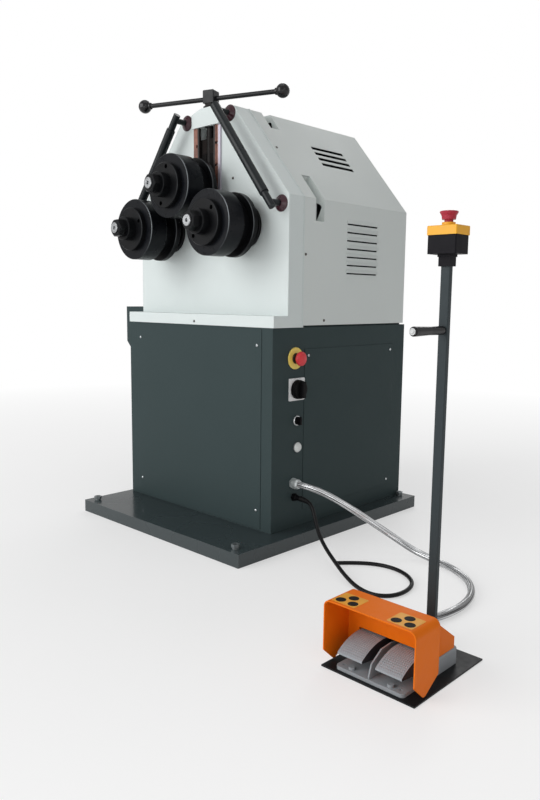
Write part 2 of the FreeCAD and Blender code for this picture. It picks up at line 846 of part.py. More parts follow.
def tie_points():
    """Places of the four tie bars between the frame plates: (x, z)."""
    low = half_pitch + bearing_flange_r
    return [(machine_x + side * low, z) for side in (-1, 1)
            for z in (bed_z + tie_low_up, lower_z - tie_high_down)]


def make_ties():
    """Tie bars that hold the frame plates apart."""
    return [rod(tie_r, (x, plate_back_y, z), (x, rear_y, z)) for x, z in tie_points()]


def make_cap():
    """Cap block: bridges the top of the slot and carries the adjusting screw."""
    brow = cap_top_z - cap_crown
    flat = cap_half_w / 3
    outline = [(machine_x + x, z) for x, z in
               ((-cap_half_w, cap_bottom_z), (cap_half_w, cap_bottom_z), (cap_half_w, brow),
                (flat, cap_top_z), (-flat, cap_top_z), (-cap_half_w, brow))]
    front = prism_y(outline, plate_y - cap_proud, plate_y)
    tongue_half = slot_half_w - seat
    tongue = block(machine_x - tongue_half, plate_y - past, cap_bottom_z,
                   machine_x + tongue_half, plate_back_y, cap_top_z)
    cap = fuse([front, tongue])
    cap = cap.cut(rod(screw_r + fit, (machine_x, screw_y, cap_bottom_z - past),
                      (machine_x, screw_y, cap_top_z + past)))
    return cap.cut(rod(screw_r + cap_counterbore_wall, (machine_x, screw_y, cap_bottom_z - past),
                       (machine_x, screw_y, cap_bottom_z + cap_counterbore)))


def make_rail():
    """Right-hand guide rail: a bronze strip with counterbored screw holes."""
    x0 = machine_x + rail_inner_x
    x1 = machine_x + rail_outer_x
    y0 = plate_y - rail_t
    low = slot_bottom_z - rail_below
    rail = block(x0, y0, low, x1, plate_y, cap_bottom_z)
    rail = rail.cut(block(machine_x + slot_half_w + rail_step_out, y0 - past, low - past,
                          x1 + past, y0 + rail_step_d, cap_bottom_z + past))
    x = machine_x + rail_inner_x + rail_w / 2 - rail_hole_shift
    z = cap_bottom_z - rail_hole_top
    while z > slot_bottom_z:
        rail = rail.cut(rod(rail_hole_r, (x, y0 - past, z), (x, plate_y + past, z)))
        rail = rail.cut(rod(rail_head_r, (x, y0 - past, z), (x, y0 + rail_head_d, z)))
        z -= rail_hole_pitch
    return rail


def make_bearing(x, y_plate, y_flange, thickness):
    """Flanged bearing unit: a ring in the plate with its flange on the outer face."""
    bore = shaft_r + fit
    lo = min(y_plate, y_flange)
    hi = max(y_plate + thickness, y_flange + bearing_flange_t)
    ring = turned([(bore, lo), (bearing_outer_r, lo), (bearing_outer_r, hi), (bore, hi)],
                  "y", (x, 0, lower_z))
    c = bearing_chamfer
    r = bearing_flange_r
    y1 = y_flange + bearing_flange_t
    flange = turned([(bore, y_flange), (r - c, y_flange), (r, y_flange + c), (r, y1 - c), (r - c, y1),
                     (bore, y1)], "y", (x, 0, lower_z))
    unit = fuse([ring, flange])
    for i in range(bearing_bolts):
        a = math.tau * (i + 0.5) / bearing_bolts
        bx = x + (r - bearing_bolt_in) * math.cos(a)
        bz = lower_z + (r - bearing_bolt_in) * math.sin(a)
        unit = unit.cut(rod(bearing_bolt_r, (bx, y_flange - past, bz), (bx, y1 + past, bz)))
    return unit


def make_bearings():
    """Front and rear bearing units of both lower shafts."""
    units = []
    for x in lower_x.values():
        units.append(make_bearing(x, plate_y, plate_y - bearing_flange_t, plate_t))
        units.append(make_bearing(x, rear_y, rear_back_y, rear_plate_t))
    return units


# ---- Hood ------------------------------------------------------------------------------------

def louvre(z):
    """One pressed louvre on the right wall: outer form, and the hollow behind it."""
    x = machine_x + frame_half_w
    y0, y1 = louvre_y
    lip = louvre_lip
    high = z + louvre_h / 2
    low = z - louvre_h / 2
    outer = prism_y([(x - skin_t, high), (x, high), (x + louvre_proud, low), (x - skin_t, low)], y0, y1)
    hollow = prism_y([(x - skin_t - past, high - lip), (x - louvre_back, high - lip),
                      (x + louvre_proud - lip, low - louvre_slit),
                      (x - skin_t - past, low - louvre_slit)], y0 + lip, y1 - lip)
    return outer, hollow


def vent(i):
    """One open slot through the right slope."""
    along = vent_first + i * vent_pitch
    outline = [on_slope(along - vent_w / 2, -1), on_slope(along + vent_w / 2, -1),
               on_slope(along + vent_w / 2, skin_t + past), on_slope(along - vent_w / 2, skin_t + past)]
    return prism_y(outline, louvre_y[0] + vent_shift, louvre_y[1] + vent_shift)


def pocket(rim, floor, hole_at):
    """A lifting pocket across a corner of the hood: the cut, the sheet that lines it, and its hand hole.

    rim is the skin's line across the corner: low end, corner and high end.  floor is the same line
    moved in by the pocket's depth.
    """
    y0, y1 = pocket_y
    t = skin_t
    low, corner, high = rim
    low_in, corner_in, high_in = floor
    away = 2 * pocket_d
    beyond = [(high[0] + away, high[1] + away), (low[0] + away, low[1])]
    cut = prism_y([low, low_in, corner_in, high_in, high] + beyond, y0, y1)
    grow = 1 + t / pocket_d
    backing = [(a[0] + (b[0] - a[0]) * grow, a[1] + (b[1] - a[1]) * grow) for a, b in zip(rim, floor)]
    backing[0] = (backing[0][0], backing[0][1] - t)
    backing[2] = (backing[2][0] - t * slope_dir[1] * 0.5, backing[2][1] + t * 0.5)
    lining = prism_y([(low[0], low[1] - t), backing[0], backing[1], backing[2], high, corner], y0 - t, y1 + t)
    hole = rod(pocket_hole_r, (hole_at[0], y1 - past, hole_at[1]), (hole_at[0], y1 + t + past, hole_at[1]))
    keep = prism_y([low_in, corner_in, high_in, corner], y1 - past, y1 + t + past)
    return cut, lining, hole.common(keep)


def make_hood():
    """Rear hood: a folded shell with louvres, open slots and lifting pockets."""
    outer = prism_y(frame_outline(0, bed_z), seam_y, hood_back_y)
    inner = prism_y(frame_outline(skin_t, bed_z - past), seam_y - past, hood_back_y - skin_t)
    hood = outer.cut(inner)
    flange = block(machine_x + frame_half_w - hood_flange_w, seam_y, bed_z,
                   machine_x + frame_half_w, hood_back_y, bed_z + skin_t)
    hood = fuse([hood, flange, mirrored_x(flange)])
    side_x = machine_x + frame_half_w
    ridge_x = machine_x + ridge_half_w
    d = pocket_d
    inner = {"shoulder": (side_x - d, shoulder_z - d * math.tan(slope_tilt / 2)),
             "ridge": (ridge_x - d * math.tan((math.pi / 2 - slope_tilt) / 2), ridge_z - d)}
    shoulder = (((side_x, shoulder_z - pocket_low), (side_x, shoulder_z), on_slope(slope_len - pocket_high)),
                ((side_x - d, shoulder_z - pocket_low), inner["shoulder"],
                 on_slope(slope_len - pocket_high, d)),
                (side_x - d, shoulder_z - pocket_low / 2))
    ridge = ((on_slope(ridge_pocket_low), (ridge_x, ridge_z), (ridge_x - ridge_pocket_high, ridge_z)),
             (on_slope(ridge_pocket_low, d), inner["ridge"], (ridge_x - ridge_pocket_high, ridge_z - d)),
             on_slope(ridge_pocket_low / 2, d))
    for corner in (shoulder, ridge):
        cut, lining, hole = pocket(*corner)
        lining = lining.cut(cut)
        for c, l, h in ((cut, lining, hole), (mirrored_x(cut), mirrored_x(lining), mirrored_x(hole))):
            hood = hood.cut(c).fuse(l).cut(h)
    for i in range(louvre_count):
        form, hollow = louvre(shoulder_z - louvre_down - i * louvre_pitch)
        hood = hood.fuse(form).cut(hollow)
        hood = hood.fuse(mirrored_x(form)).cut(mirrored_x(hollow))
    for i in range(vent_count):
        slot = vent(i)
        hood = hood.cut(slot).cut(mirrored_x(slot))
    return hood.removeSplitter()


# ---- Rolls -----------------------------------------------------------------------------------

def make_shaft(x, z, end_y):
    """Roll shaft: a threaded end with a centre hole, and a plain journal behind it."""
    c = thread_chamfer
    r = centre_hole_r
    lead = centre_hole_lead
    hole_end = shaft_tip_y + centre_hole_d
    profile = [(0, hole_end + centre_hole_cone), (r, hole_end), (r, shaft_tip_y + lead),
               (r + lead, shaft_tip_y), (thread_r - c, shaft_tip_y), (thread_r, shaft_tip_y + c),
               (thread_r, shaft_step_y), (shaft_r, shaft_step_y), (shaft_r, end_y), (0, end_y)]
    return turned(profile, "y", (x, 0, z))


def make_front_roll(x, z):
    """Front roll: a plain cylinder with broken edges."""
    c = roll_chamfer
    y0 = front_roll_y
    y1 = groove_y
    bore = shaft_r + fit
    profile = [(bore, y0), (roll_r - c, y0), (roll_r, y0 + c), (roll_r, y1 - c), (roll_r - c, y1), (bore, y1)]
    return turned(profile, "y", (x, 0, z))


def make_rear_roll(x, z, boss_r, boss_end):
    """Rear roll: spacer hub, flange and rear boss turned in one piece."""
    c = roll_chamfer
    bore = shaft_r + fit
    y0 = flange_roll_y
    y1 = boss_y
    hub_r = roll_r - groove_depth
    profile = [(bore, groove_y), (hub_r, groove_y), (hub_r, y0), (roll_r - c, y0), (roll_r, y0 + c),
               (roll_r, y1 - c), (roll_r - c, y1), (boss_r, y1), (boss_r, boss_end), (bore, boss_end)]
    return turned(profile, "y", (x, 0, z))


def make_clamp(x, z, turn):
    """Clamp collar with two pin holes, and the hexagon nut that holds it."""
    c = collar_chamfer
    bore = thread_r + fit
    seat_r = shaft_r + fit
    y2 = front_roll_y
    profile = [(bore, collar_y), (collar_hub_r - c, collar_y), (collar_hub_r, collar_y + c),
               (collar_hub_r, disc_y), (collar_disc_r - c, disc_y), (collar_disc_r, disc_y + c),
               (collar_disc_r, y2), (seat_r, y2), (seat_r, shaft_step_y), (bore, shaft_step_y)]
    collar = turned(profile, "y", (x, 0, z))
    for half in (0, 180):
        a = math.radians(turn + half)
        hx = x + (collar_disc_r - collar_hole_in) * math.cos(a)
        hz = z + (collar_disc_r - collar_hole_in) * math.sin(a)
        collar = collar.cut(rod(collar_hole_r, (hx, disc_y - past, hz), (hx, disc_y + collar_hole_d, hz)))
    nut = prism_y(shifted(hexagon(nut_af, turn - nut_lag), x, z), nut_y, collar_y)
    rim = nut_af / math.sqrt(3)
    rounding = turned([(0, nut_y), (rim - nut_round_in, nut_y), (rim, nut_y + nut_round_h),
                       (rim, collar_y), (0, collar_y)], "y", (x, 0, z))
    nut = nut.common(rounding).cut(rod(bore, (x, nut_y - past, z), (x, collar_y + past, z)))
    return [collar, nut]


# ---- Carriage and adjusting screw ------------------------------------------------------------

def make_carriage():
    """Slide carriage: slot heads in both plates, joined by a tube that carries the top shaft."""
    half = slot_half_w - seat
    wide = slot_half_w + carriage_flange_w
    low = top_z - head_below
    head = block(machine_x - half, plate_y + air, low, machine_x + half, plate_back_y + past,
                 top_z + head_above)
    flange = block(machine_x - wide, plate_back_y + air, top_z - carriage_flange_half_h,
                   machine_x + wide, plate_back_y + carriage_flange_t, top_z + carriage_flange_half_h)
    tube = rod(shaft_r + carriage_tube_wall, (machine_x, plate_back_y + air + past, top_z),
               (machine_x, rear_y - air - past, top_z))
    stop = block(machine_x - wide, rear_y - carriage_flange_t, top_z - carriage_flange_half_h,
                 machine_x + wide, rear_y - air, top_z + carriage_flange_half_h)
    tail = block(machine_x - half, rear_y - air - past, low, machine_x + half, rear_back_y,
                 top_z + head_below)
    nose = rod(rail_inner_x - nose_clear, (machine_x, plate_y - nose_t, top_z),
               (machine_x, plate_y + past, top_z))
    body = fuse([head, flange, tube, stop, tail, nose])
    body = body.cut(rod(shaft_r + fit, (machine_x, plate_y - nose_t - past, top_z),
                        (machine_x, rear_back_y + past, top_z)))
    top = top_z + head_above
    body = body.cut(rod(screw_r + screw_clear, (machine_x, screw_y, top_z + shaft_r + screw_hole_above),
                        (machine_x, screw_y, top + past)))
    pocket_half = screw_r + screw_nut_wall
    return body.cut(block(machine_x - pocket_half, plate_y - past, top - screw_nut_h,
                          machine_x + pocket_half, plate_back_y + 2 * past, top + past))


def make_carriage_nut():
    """Bronze nut of the adjusting screw, set into the top of the carriage."""
    z1 = top_z + head_above
    z0 = z1 - screw_nut_h
    half = screw_r + screw_nut_wall - seat
    nut = block(machine_x - half, plate_y + air, z0, machine_x + half, plate_back_y, z1)
    return nut.cut(rod(screw_r + fit, (machine_x, screw_y, z0 - past), (machine_x, screw_y, z1 + past)))


def make_screw():
    """Adjusting screw: thread, thrust collar in the cap, flange, hexagon and top spigot."""
    end_z = top_z + shaft_r + screw_end_above + travel_up
    collar_z = cap_bottom_z + thrust_clear
    collar_top = cap_bottom_z + cap_counterbore - thrust_clear
    flange_z = cap_top_z + air
    flange_top = flange_z + screw_flange_h
    tip_z = hub_bottom_z + hub_h + spigot_proud
    c = screw_chamfer
    thrust_r = screw_r + thrust_wall
    flange_r = screw_r + screw_flange_wall
    profile = [(0, end_z), (screw_r - c, end_z), (screw_r, end_z + c), (screw_r, collar_z),
               (thrust_r, collar_z), (thrust_r, collar_top), (screw_r, collar_top),
               (screw_r, flange_z), (flange_r, flange_z), (flange_r, flange_top),
               (spigot_r, flange_top), (spigot_r, tip_z), (0, tip_z)]
    body = turned(profile, "z", (machine_x, screw_y, 0))
    spanner = prism_z(shifted(hexagon(screw_hex_af, bar_turn), machine_x, screw_y), flange_top - past,
                      hub_bottom_z)
    return fuse([body, spanner]).cut(rod(bar_r + fit, *bar_ends(2 * hub_w)))


def bar_ends(half):
    """Two points on the cross bar's axis, each half from the screw axis."""
    dx = half * math.cos(math.radians(bar_turn))
    dy = half * math.sin(math.radians(bar_turn))
    return (machine_x - dx, screw_y - dy, bar_z), (machine_x + dx, screw_y + dy, bar_z)


def make_hub():
    """Square handle hub with broken edges, bored for the screw spigot and the cross bar."""
    hub = block(-hub_w / 2, -hub_w / 2, hub_bottom_z, hub_w / 2, hub_w / 2, hub_bottom_z + hub_h)
    edges = [e for e in hub.Edges if abs(e.BoundBox.ZLength) > hub_h / 2]
    tops = [e for e in hub.Edges if e.BoundBox.ZMin > hub_bottom_z + hub_h - 1]
    hub = hub.makeChamfer(hub_chamfer, edges + tops)
    hub.rotate(V(0, 0, 0), V(0, 0, 1), bar_turn)
    hub.translate(V(machine_x, screw_y, 0))
    hub = hub.cut(rod(spigot_r + fit, (machine_x, screw_y, hub_bottom_z - past),
                      (machine_x, screw_y, hub_bottom_z + hub_h + past)))
    return hub.cut(rod(bar_r + fit, *bar_ends(2 * hub_w)))


def make_knobs():
    """Two ball knobs, each with a short neck towards the hub."""
    knobs = []
    for side in (-1, 1):
        centre = bar_ends(bar_half)[0 if side < 0 else 1]
        steps = 12
        arc = [(knob_r * math.sin(math.pi * i / steps), -knob_r * math.cos(math.pi * i / steps))
               for i in range(2, steps + 1)]
        neck = -knob_r - knob_neck
        profile = [(0, neck), (bar_r + knob_neck_wall, neck)] + arc[:-1] + [(0, knob_r)]
        ball = turned(profile, "x", (0, 0, 0))
        if side < 0:
            ball = ball.mirror(V(0, 0, 0), V(1, 0, 0))
        ball = ball.cut(rod(bar_r + fit, (side * (neck - past), 0, 0), (side * knob_bore_end, 0, 0)))
        ball.rotate(V(0, 0, 0), V(0, 0, 1), bar_turn)
        ball.translate(V(*centre))
        knobs.append(ball)
    return knobs


# ---- Gear train ------------------------------------------------------------------------------

def involute(angle):
    """The involute function."""
    return math.tan(angle) - angle


def gear_outline(teeth, turn):
    """Spur gear outline round (0, 0), with a tooth centred at the angle turn."""
    flank = math.radians(pressure_angle)
    pitch_r = gear_module * teeth / 2
    base_r = pitch_r * math.cos(flank)
    tip_r = pitch_r + gear_addendum * gear_module
    root_r = pitch_r - gear_dedendum * gear_module
    half_pitch_angle = (math.pi / 2 - backlash / (2 * gear_module)) / teeth
    zero = half_pitch_angle + involute(flank)
    radii = [max(base_r, root_r + 0.3), pitch_r, tip_r - 0.4 * gear_module, tip_r]
    half = [(root_r, zero + 0.2 / root_r)]
    for r in radii:
        half.append((r, zero - involute(math.acos(min(1.0, base_r / r)))))
    points = []
    for i in range(teeth):
        middle = turn + 2 * math.pi * i / teeth
        for r, a in half:
            points.append((r * math.cos(middle - a), r * math.sin(middle - a)))
        for r, a in reversed(half):
            points.append((r * math.cos(middle + a), r * math.sin(middle + a)))
    return points


def mesh_turn(direction):
    """Turn of a lower gear that meshes with the pinion, whose tooth points straight up."""
    phase = (direction - math.pi / 2) * pinion_teeth / (2 * math.pi)
    back = direction + math.pi
    return back - (0.5 - phase) * 2 * math.pi / gear_teeth


def make_gear(name):
    """Large gear on a lower shaft, lightened by a web recess."""
    x = lower_x[name]
    direction = math.atan2(lower_z - pinion_z, x - machine_x)
    outline = shifted(gear_outline(gear_teeth, mesh_turn(direction)), x, lower_z)
    gear = prism_y(outline, gear_y, gear_y + gear_w)
    rim = gear_module * gear_teeth / 2 - gear_rim
    hub = shaft_r + gear_hub_wall
    deep = gear_y + gear_recess
    recess = [(hub, gear_y - past), (rim, gear_y - past), (rim, deep), (hub, deep)]
    gear = gear.cut(turned(recess, "y", (x, 0, lower_z)))
    return gear.cut(rod(shaft_r + fit, (x, gear_y - past, lower_z), (x, gear_y + gear_w + past, lower_z)))


def make_pinion():
    """Drive pinion with its shaft, between the rear plate and the gearbox."""
    outline = shifted(gear_outline(pinion_teeth, math.pi / 2), machine_x, pinion_z)
    wheel = prism_y(outline, gear_y - pinion_over, gear_y + gear_w + pinion_over)
    shaft = rod(pinion_shaft_r, (machine_x, rear_y + pinion_shaft_in, pinion_z),
                (machine_x, gearbox_y + gearbox_bore, pinion_z))
    return fuse([wheel, shaft])


def make_gearmotor():
    """Gearbox on its pedestal, and the motor flanged to its left side."""
    y0 = gearbox_y
    y1 = y0 + gearbox_d
    top = pinion_z + gearbox_up
    low = pinion_z - gearbox_up
    x0 = machine_x - gearbox_half_w
    x1 = machine_x + gearbox_half_w
    gearbox = block(x0, y0, low, x1, y1, top)
    upright = [e for e in gearbox.Edges if e.BoundBox.YLength > gearbox_d / 2]
    gearbox = gearbox.makeFillet(gearbox_round, upright)
    inset = gearbox_foot_in
    out = gearbox_sole_out
    foot = block(x0 + inset, y0 + inset, bed_z, x1 - inset, y1 - inset, low + gearbox_foot_lap)
    sole = block(x0 - out, y0 + inset, bed_z, x1 + out, y1 - inset, bed_z + gearbox_sole_h)
    gearbox = fuse([gearbox, foot, sole])
    bore_end = y0 + gearbox_bore + gearbox_bore_clear
    gearbox = gearbox.cut(rod(pinion_shaft_r + fit, (machine_x, y0 - past, pinion_z),
                              (machine_x, bore_end, pinion_z)))
    yc = (y0 + y1) / 2
    flange_x = x0 - motor_flange_t
    motor = fuse([rod(motor_r, (x0 - motor_len, yc, pinion_z), (flange_x + past, yc, pinion_z)),
                  rod(motor_r + motor_flange_wall, (flange_x, yc, pinion_z), (x0, yc, pinion_z))])
    for i in range(fin_count):
        groove = block(x0 - motor_len + fin_back, -fin_groove_w / 2, motor_r - fin_groove_d,
                       x0 - fin_front, fin_groove_w / 2, motor_r + past)
        groove.rotate(V(0, 0, 0), V(1, 0, 0), 360 * i / fin_count)
        groove.translate(V(0, yc, pinion_z))
        motor = motor.cut(groove)
    return [gearbox, motor]


# ---- Guard bars ------------------------------------------------------------------------------

def guard_line():
    """End studs of the right guard bar: two points on the bar's axis plane."""
    y = plate_y - guard_stand
    return (V(machine_x + guard_top_x, y, ridge_z - guard_top_down),
            V(machine_x + frame_half_w - guard_low_in, y, shoulder_z - guard_low_down))


def make_guard_bar(thin_at_top):
    """Round bar with a stepped end, standing off the front plate on two studs."""
    top, low = guard_line()
    run = low - top
    run.normalize()
    start = top - run * guard_over
    end = low + run * guard_over
    if thin_at_top:
        step = start + run * guard_end_len
        pieces = [rod(guard_end_r, start, step + run), rod(guard_bar_r, step, end)]
    else:
        step = end - run * guard_end_len
        pieces = [rod(guard_bar_r, start, step), rod(guard_end_r, step - run, end)]
    for p in (top, low):
        pieces.append(rod(guard_stud_r, p, (p.x, plate_y, p.z)))
    return fuse(pieces)


def make_guard_bars():
    """Both guard bars; the left one is stepped at its upper end."""
    return [make_guard_bar(False), mirrored_x(make_guard_bar(True))]


def make_guard_flanges():
    """Cone-shaped rosettes round the studs, against the front plate."""
    rosettes = []
    bore = guard_stud_r + seat
    rim = guard_flange_r
    for p in guard_line():
        cone = turned([(bore, plate_y - guard_flange_h), (bore + guard_flange_lip, plate_y - guard_flange_h),
                       (rim - 1, plate_y - 3), (rim, plate_y - 1.5), (rim, plate_y), (bore, plate_y)],
                      "y", (p.x, 0, p.z))
        rosettes += [cone, mirrored_x(cone)]
    return rosettes


# ---- Controls on the cabinet -----------------------------------------------------------------

def make_estop_ring():
    """Yellow backing ring, black collar and the contact block behind the panel."""
    y, z = estop_yz
    x = right_face_x
    bore = stem_r + fit
    back = x - estop_block_d
    top = x + estop_collar_h
    r = estop_ring_r
    return turned([(bore, back), (barrel_r, back), (barrel_r, x), (r, x), (r, x + 1.6), (r - 1.4, x + 3),
                   (r / 2, x + 3), (r / 2 - 1, top), (bore, top)], "x", (0, y, z))


def make_estop_button():
    """Red mushroom head on its stem."""
    y, z = estop_yz
    x = right_face_x
    under = x + estop_collar_h + press_gap
    r = estop_head_r
    profile = [(0, x - stem_in), (stem_r, x - stem_in), (stem_r, under), (r - 5, under), (r - 1, under + 4),
               (r, under + 7), (r - 1, under + 11), (r - 5, under + 14.5), (r * 0.4, under + 16),
               (0, under + 16.5)]
    return turned(profile, "x", (0, y, z))


def make_switch_plate():
    """Square plate of the main switch, with a lock slot, and the switch body inside."""
    y, z = switch_yz
    x = right_face_x
    w = switch_plate_w / 2
    top = x + switch_plate_t
    plate = block(x, y - w, z - w, top, y + w, z + w)
    upright = [e for e in plate.Edges if e.BoundBox.XLength > switch_plate_t / 2]
    plate = plate.makeFillet(switch_plate_round, upright)
    body = rod(barrel_r, (x - switch_body_d, y, z), (x + past, y, z))
    plate = fuse([plate, body]).cut(rod(stem_r + fit, (x - stem_in, y, z), (top + past, y, z)))
    y0 = y - w + lock_in
    z0 = z - w + lock_up
    return plate.cut(block(x + switch_plate_t / 2, y0, z0, top + past, y0 + lock_w, z0 + lock_h))


def make_switch_knob():
    """Round main-switch knob with a raised grip bar, on its spindle."""
    y, z = switch_yz
    x = right_face_x
    r = switch_knob_r
    under = x + switch_plate_t + switch_plate_air
    top = under + switch_knob_h
    stem = x - stem_in + stem_clear
    profile = [(0, stem), (stem_r, stem), (stem_r, under), (r, under), (r, top - 9), (r - 1.5, top - 1),
               (r - 3, top), (0, top)]
    knob = turned(profile, "x", (0, y, z))
    half = switch_grip_w / 2
    grip_r = r - switch_grip_in
    grip = block(top - past, y - half, z - grip_r, top + switch_grip_h, y + half, z + grip_r)
    edges = [e for e in grip.Edges if e.BoundBox.XMin > top + switch_grip_h / 2]
    grip = grip.makeFillet(switch_grip_round, edges)
    return fuse([knob, grip])


def make_selector_bezel():
    """Bright bezel and body of the selector switch."""
    y, z = selector_yz
    x = right_face_x
    bore = stem_r + fit
    back = x - bezel_block_d
    top = x + bezel_h
    return turned([(bore, back), (barrel_r, back), (barrel_r, x), (bezel_r, x), (bezel_r, top - 2),
                   (bezel_r - 1.5, top), (bore, top)], "x", (0, y, z))


def make_selector_knob():
    """Short-lever selector knob on its spindle."""
    y, z = selector_yz
    x = right_face_x
    under = x + bezel_h + air
    top = x + selector_knob_up
    r = selector_knob_r
    stem = turned([(0, x - stem_in), (stem_r, x - stem_in), (stem_r, under), (r + 0.5, under), (r, top),
                   (0, top)], "x", (0, y, z))
    half = selector_lever_w / 2
    lever = block(top - past, y - half, z - r, top + selector_lever_h, y + half, z + r)
    edges = [e for e in lever.Edges if e.BoundBox.XMin > top + selector_lever_h / 2]
    return fuse([stem, lever.makeFillet(selector_lever_round, edges)])


def make_lamp():
    """Pilot lamp: bezel, body and domed lens as one sealed unit."""
    y, z = lamp_yz
    x = right_face_x
    back = x - lamp_block_d
    rim = x + lamp_h / 3
    dome = [((bezel_r - 1) * math.sin(a), rim + (lamp_h * 2 / 3) * math.cos(a)) for a in
            (math.radians(v) for v in (75, 55, 35, 15))]
    profile = ([(0, back), (barrel_r, back), (barrel_r, x), (bezel_r, x), (bezel_r, rim)] + dome
               + [(0, x + lamp_h)])
    return turned(profile, "x", (0, y, z))


def make_conduit_gland():
    """Zinc conduit fitting: locknut inside, hexagon body, and a dome nut round the conduit."""
    y, z = conduit_yz
    x = right_face_x
    spigot = rod(conduit_hole_r - seat, (x - conduit_spigot_len, y, z), (x + past, y, z))
    hexagonal = prism_x(shifted(hexagon(conduit_hex_af, 30), y, z), x, x + conduit_hex_h)
    rim = conduit_r + conduit_dome_wall
    low = x + conduit_hex_h - past
    top = x + conduit_gland_len
    dome = turned([(0, low), (rim, low), (rim, top - 5), (rim - 2.5, top), (0, top)], "x", (0, y, z))
    back = x - cabinet_t
    locknut = prism_x(shifted(hexagon(conduit_hex_af - 1), y, z), back - conduit_locknut_h, back)
    return fuse([spigot, hexagonal, dome, locknut])


def make_lead_gland():
    """Black cable gland with a tapered strain relief."""
    y, z = lead_yz
    x = right_face_x
    spigot = rod(lead_hole_r - seat, (x - lead_spigot_len, y, z), (x + past, y, z))
    hexagonal = prism_x(shifted(hexagon(lead_hex_af), y, z), x, x + lead_hex_h)
    low = x + lead_hex_h - past
    top = x + lead_gland_len
    tip = lead_r + lead_relief_wall
    relief = turned([(0, low), (9.5, low), (9, low + 6), (tip + 1.4, low + 9), (tip, top), (0, top)],
                    "x", (0, y, z))
    back = x - cabinet_t
    locknut = prism_x(shifted(hexagon(lead_hex_af - 1), y, z), back - lead_locknut_h, back)
    return fuse([spigot, hexagonal, relief, locknut])


def make_contactor_panel():
    """Control gear on a back plate inside the cabinet, on the left wall."""
    x = left_face_x + cabinet_t
    front = x + gear_plate_t - past
    y0 = cabinet_front_y + gear_plate_back
    top = cabinet_top_z - gear_plate_down
    pieces = [block(x, y0, top - gear_plate_h, x + gear_plate_t, y0 + gear_plate_w, top)]
    for i in range(contactor_count):
        y = y0 + gear_plate_margin + i * contactor_pitch
        z = top - contactor_down
        pieces.append(block(front, y, z, x + contactor_d, y + contactor_w, z + contactor_h))
    y = y0 + drive_in
    z = top - drive_down
    pieces.append(block(front, y, z, x + drive_d, y + drive_w, z + drive_h))
    y = y0 + gear_plate_margin
    z = top - terminal_down
    pieces.append(block(front, y, z, x + terminal_d, y0 + gear_plate_w - gear_plate_margin, z + terminal_h))
    return fuse(pieces)


# ---- Cords -----------------------------------------------------------------------------------

conduit_points = [
    (right_face_x + conduit_gland_len, *conduit_yz), (374, -138, 165), (421, -120, 149), (470, -88, 118),
    (521, -53, 80), (571, -24, 45), (628, -9, 17), (688, -13, 9.4), (748, -29, 9.4),
    (803, -60, 9.4), (846, -104, 9.4), (875, -160, 9.4), (887, -222, 9.4), (883, -282, 9.4),
    (872, -330, 10.5), (881, -389, 16), (898, foot_back_y, 21)]
lead_points = [
    (right_face_x + lead_gland_len, *lead_yz), (360, -136, 124), (384, -143, 110), (408, -159, 83),
    (441, -181, 55), (485, -206, 36), (535, -233, 23), (592, -264, 11), (651, -293, 5.2),
    (705, -304, 5.2), (740, -279, 5.2), (749, -232, 5.2), (735, -180, 5.2), (697, -144, 5.2),
    (650, -127, 5.2), (600, -132, 5.2), (552, -163, 5.2), (518, -202, 5.2)]


def cord(points, radius, name):
    """A round cord along straight runs joined by tangent arcs."""
    route = [V(*p) for p in points]
    edges = []
    last = route[0]
    radii = []
    for i in range(1, len(route) - 1):
        back = route[i - 1] - route[i]
        ahead = route[i + 1] - route[i]
        run = min(back.Length, ahead.Length)
        back.normalize()
        ahead.normalize()
        turn = math.pi - back.getAngle(ahead)
        reach = 0.45 * run
        arc_r = reach / math.tan(turn / 2)
        radii.append(round(arc_r))
        start = route[i] + back * reach
        end = route[i] + ahead * reach
        middle_dir = back + ahead
        middle_dir.normalize()
        middle = route[i] + middle_dir * (arc_r / math.cos(turn / 2) - arc_r)
        edges.append(Part.LineSegment(last, start).toShape())
        edges.append(Part.Arc(start, middle, end).toShape())
        last = end
    edges.append(Part.LineSegment(last, route[-1]).toShape())
    wire = Part.Wire(edges)
    first = route[1] - route[0]
    section = Part.Wire(Part.Circle(route[0], first, radius).toShape())
    tube = wire.makePipeShell([section], True, False)
    ideal = math.pi * radius ** 2 * wire.Length
    print(name, "length", round(wire.Length), "volume ratio", round(tube.Volume / ideal, 4),
          "radii", radii)
    return tube


# ---- Pedestal --------------------------------------------------------------------------------

def make_pedestal():
    """Floor plate with the rectangular tube column welded to it."""
    plate = block(ped_x - ped_w / 2, ped_front_y, 0, ped_x + ped_w / 2, ped_front_y + ped_d, ped_t)
    tube = block(ped_x - column_w / 2, column_y - column_d / 2, ped_t - past,
                 ped_x + column_w / 2, column_y + column_d / 2, column_top_z)
    upright = [e for e in tube.Edges if e.BoundBox.ZLength > column_top_z / 2]
    tube = tube.makeFillet(column_round, upright)
    t = column_t
    tube = tube.cut(block(ped_x - column_w / 2 + t, column_y - column_d / 2 + t, ped_t,
                          ped_x + column_w / 2 - t, column_y + column_d / 2 - t, column_top_z + past))
    top = ped_t + weld_h
    weld = turned([(0, ped_t), (column_w, ped_t), (column_w * 0.75, top), (0, top)], "z",
                  (ped_x, column_y, 0))
    weld = weld.cut(block(ped_x - column_w / 2 + t, column_y - column_d / 2 + t, 0,
                          ped_x + column_w / 2 - t, column_y + column_d / 2 - t, top + past))
    return fuse([plate, tube, weld])


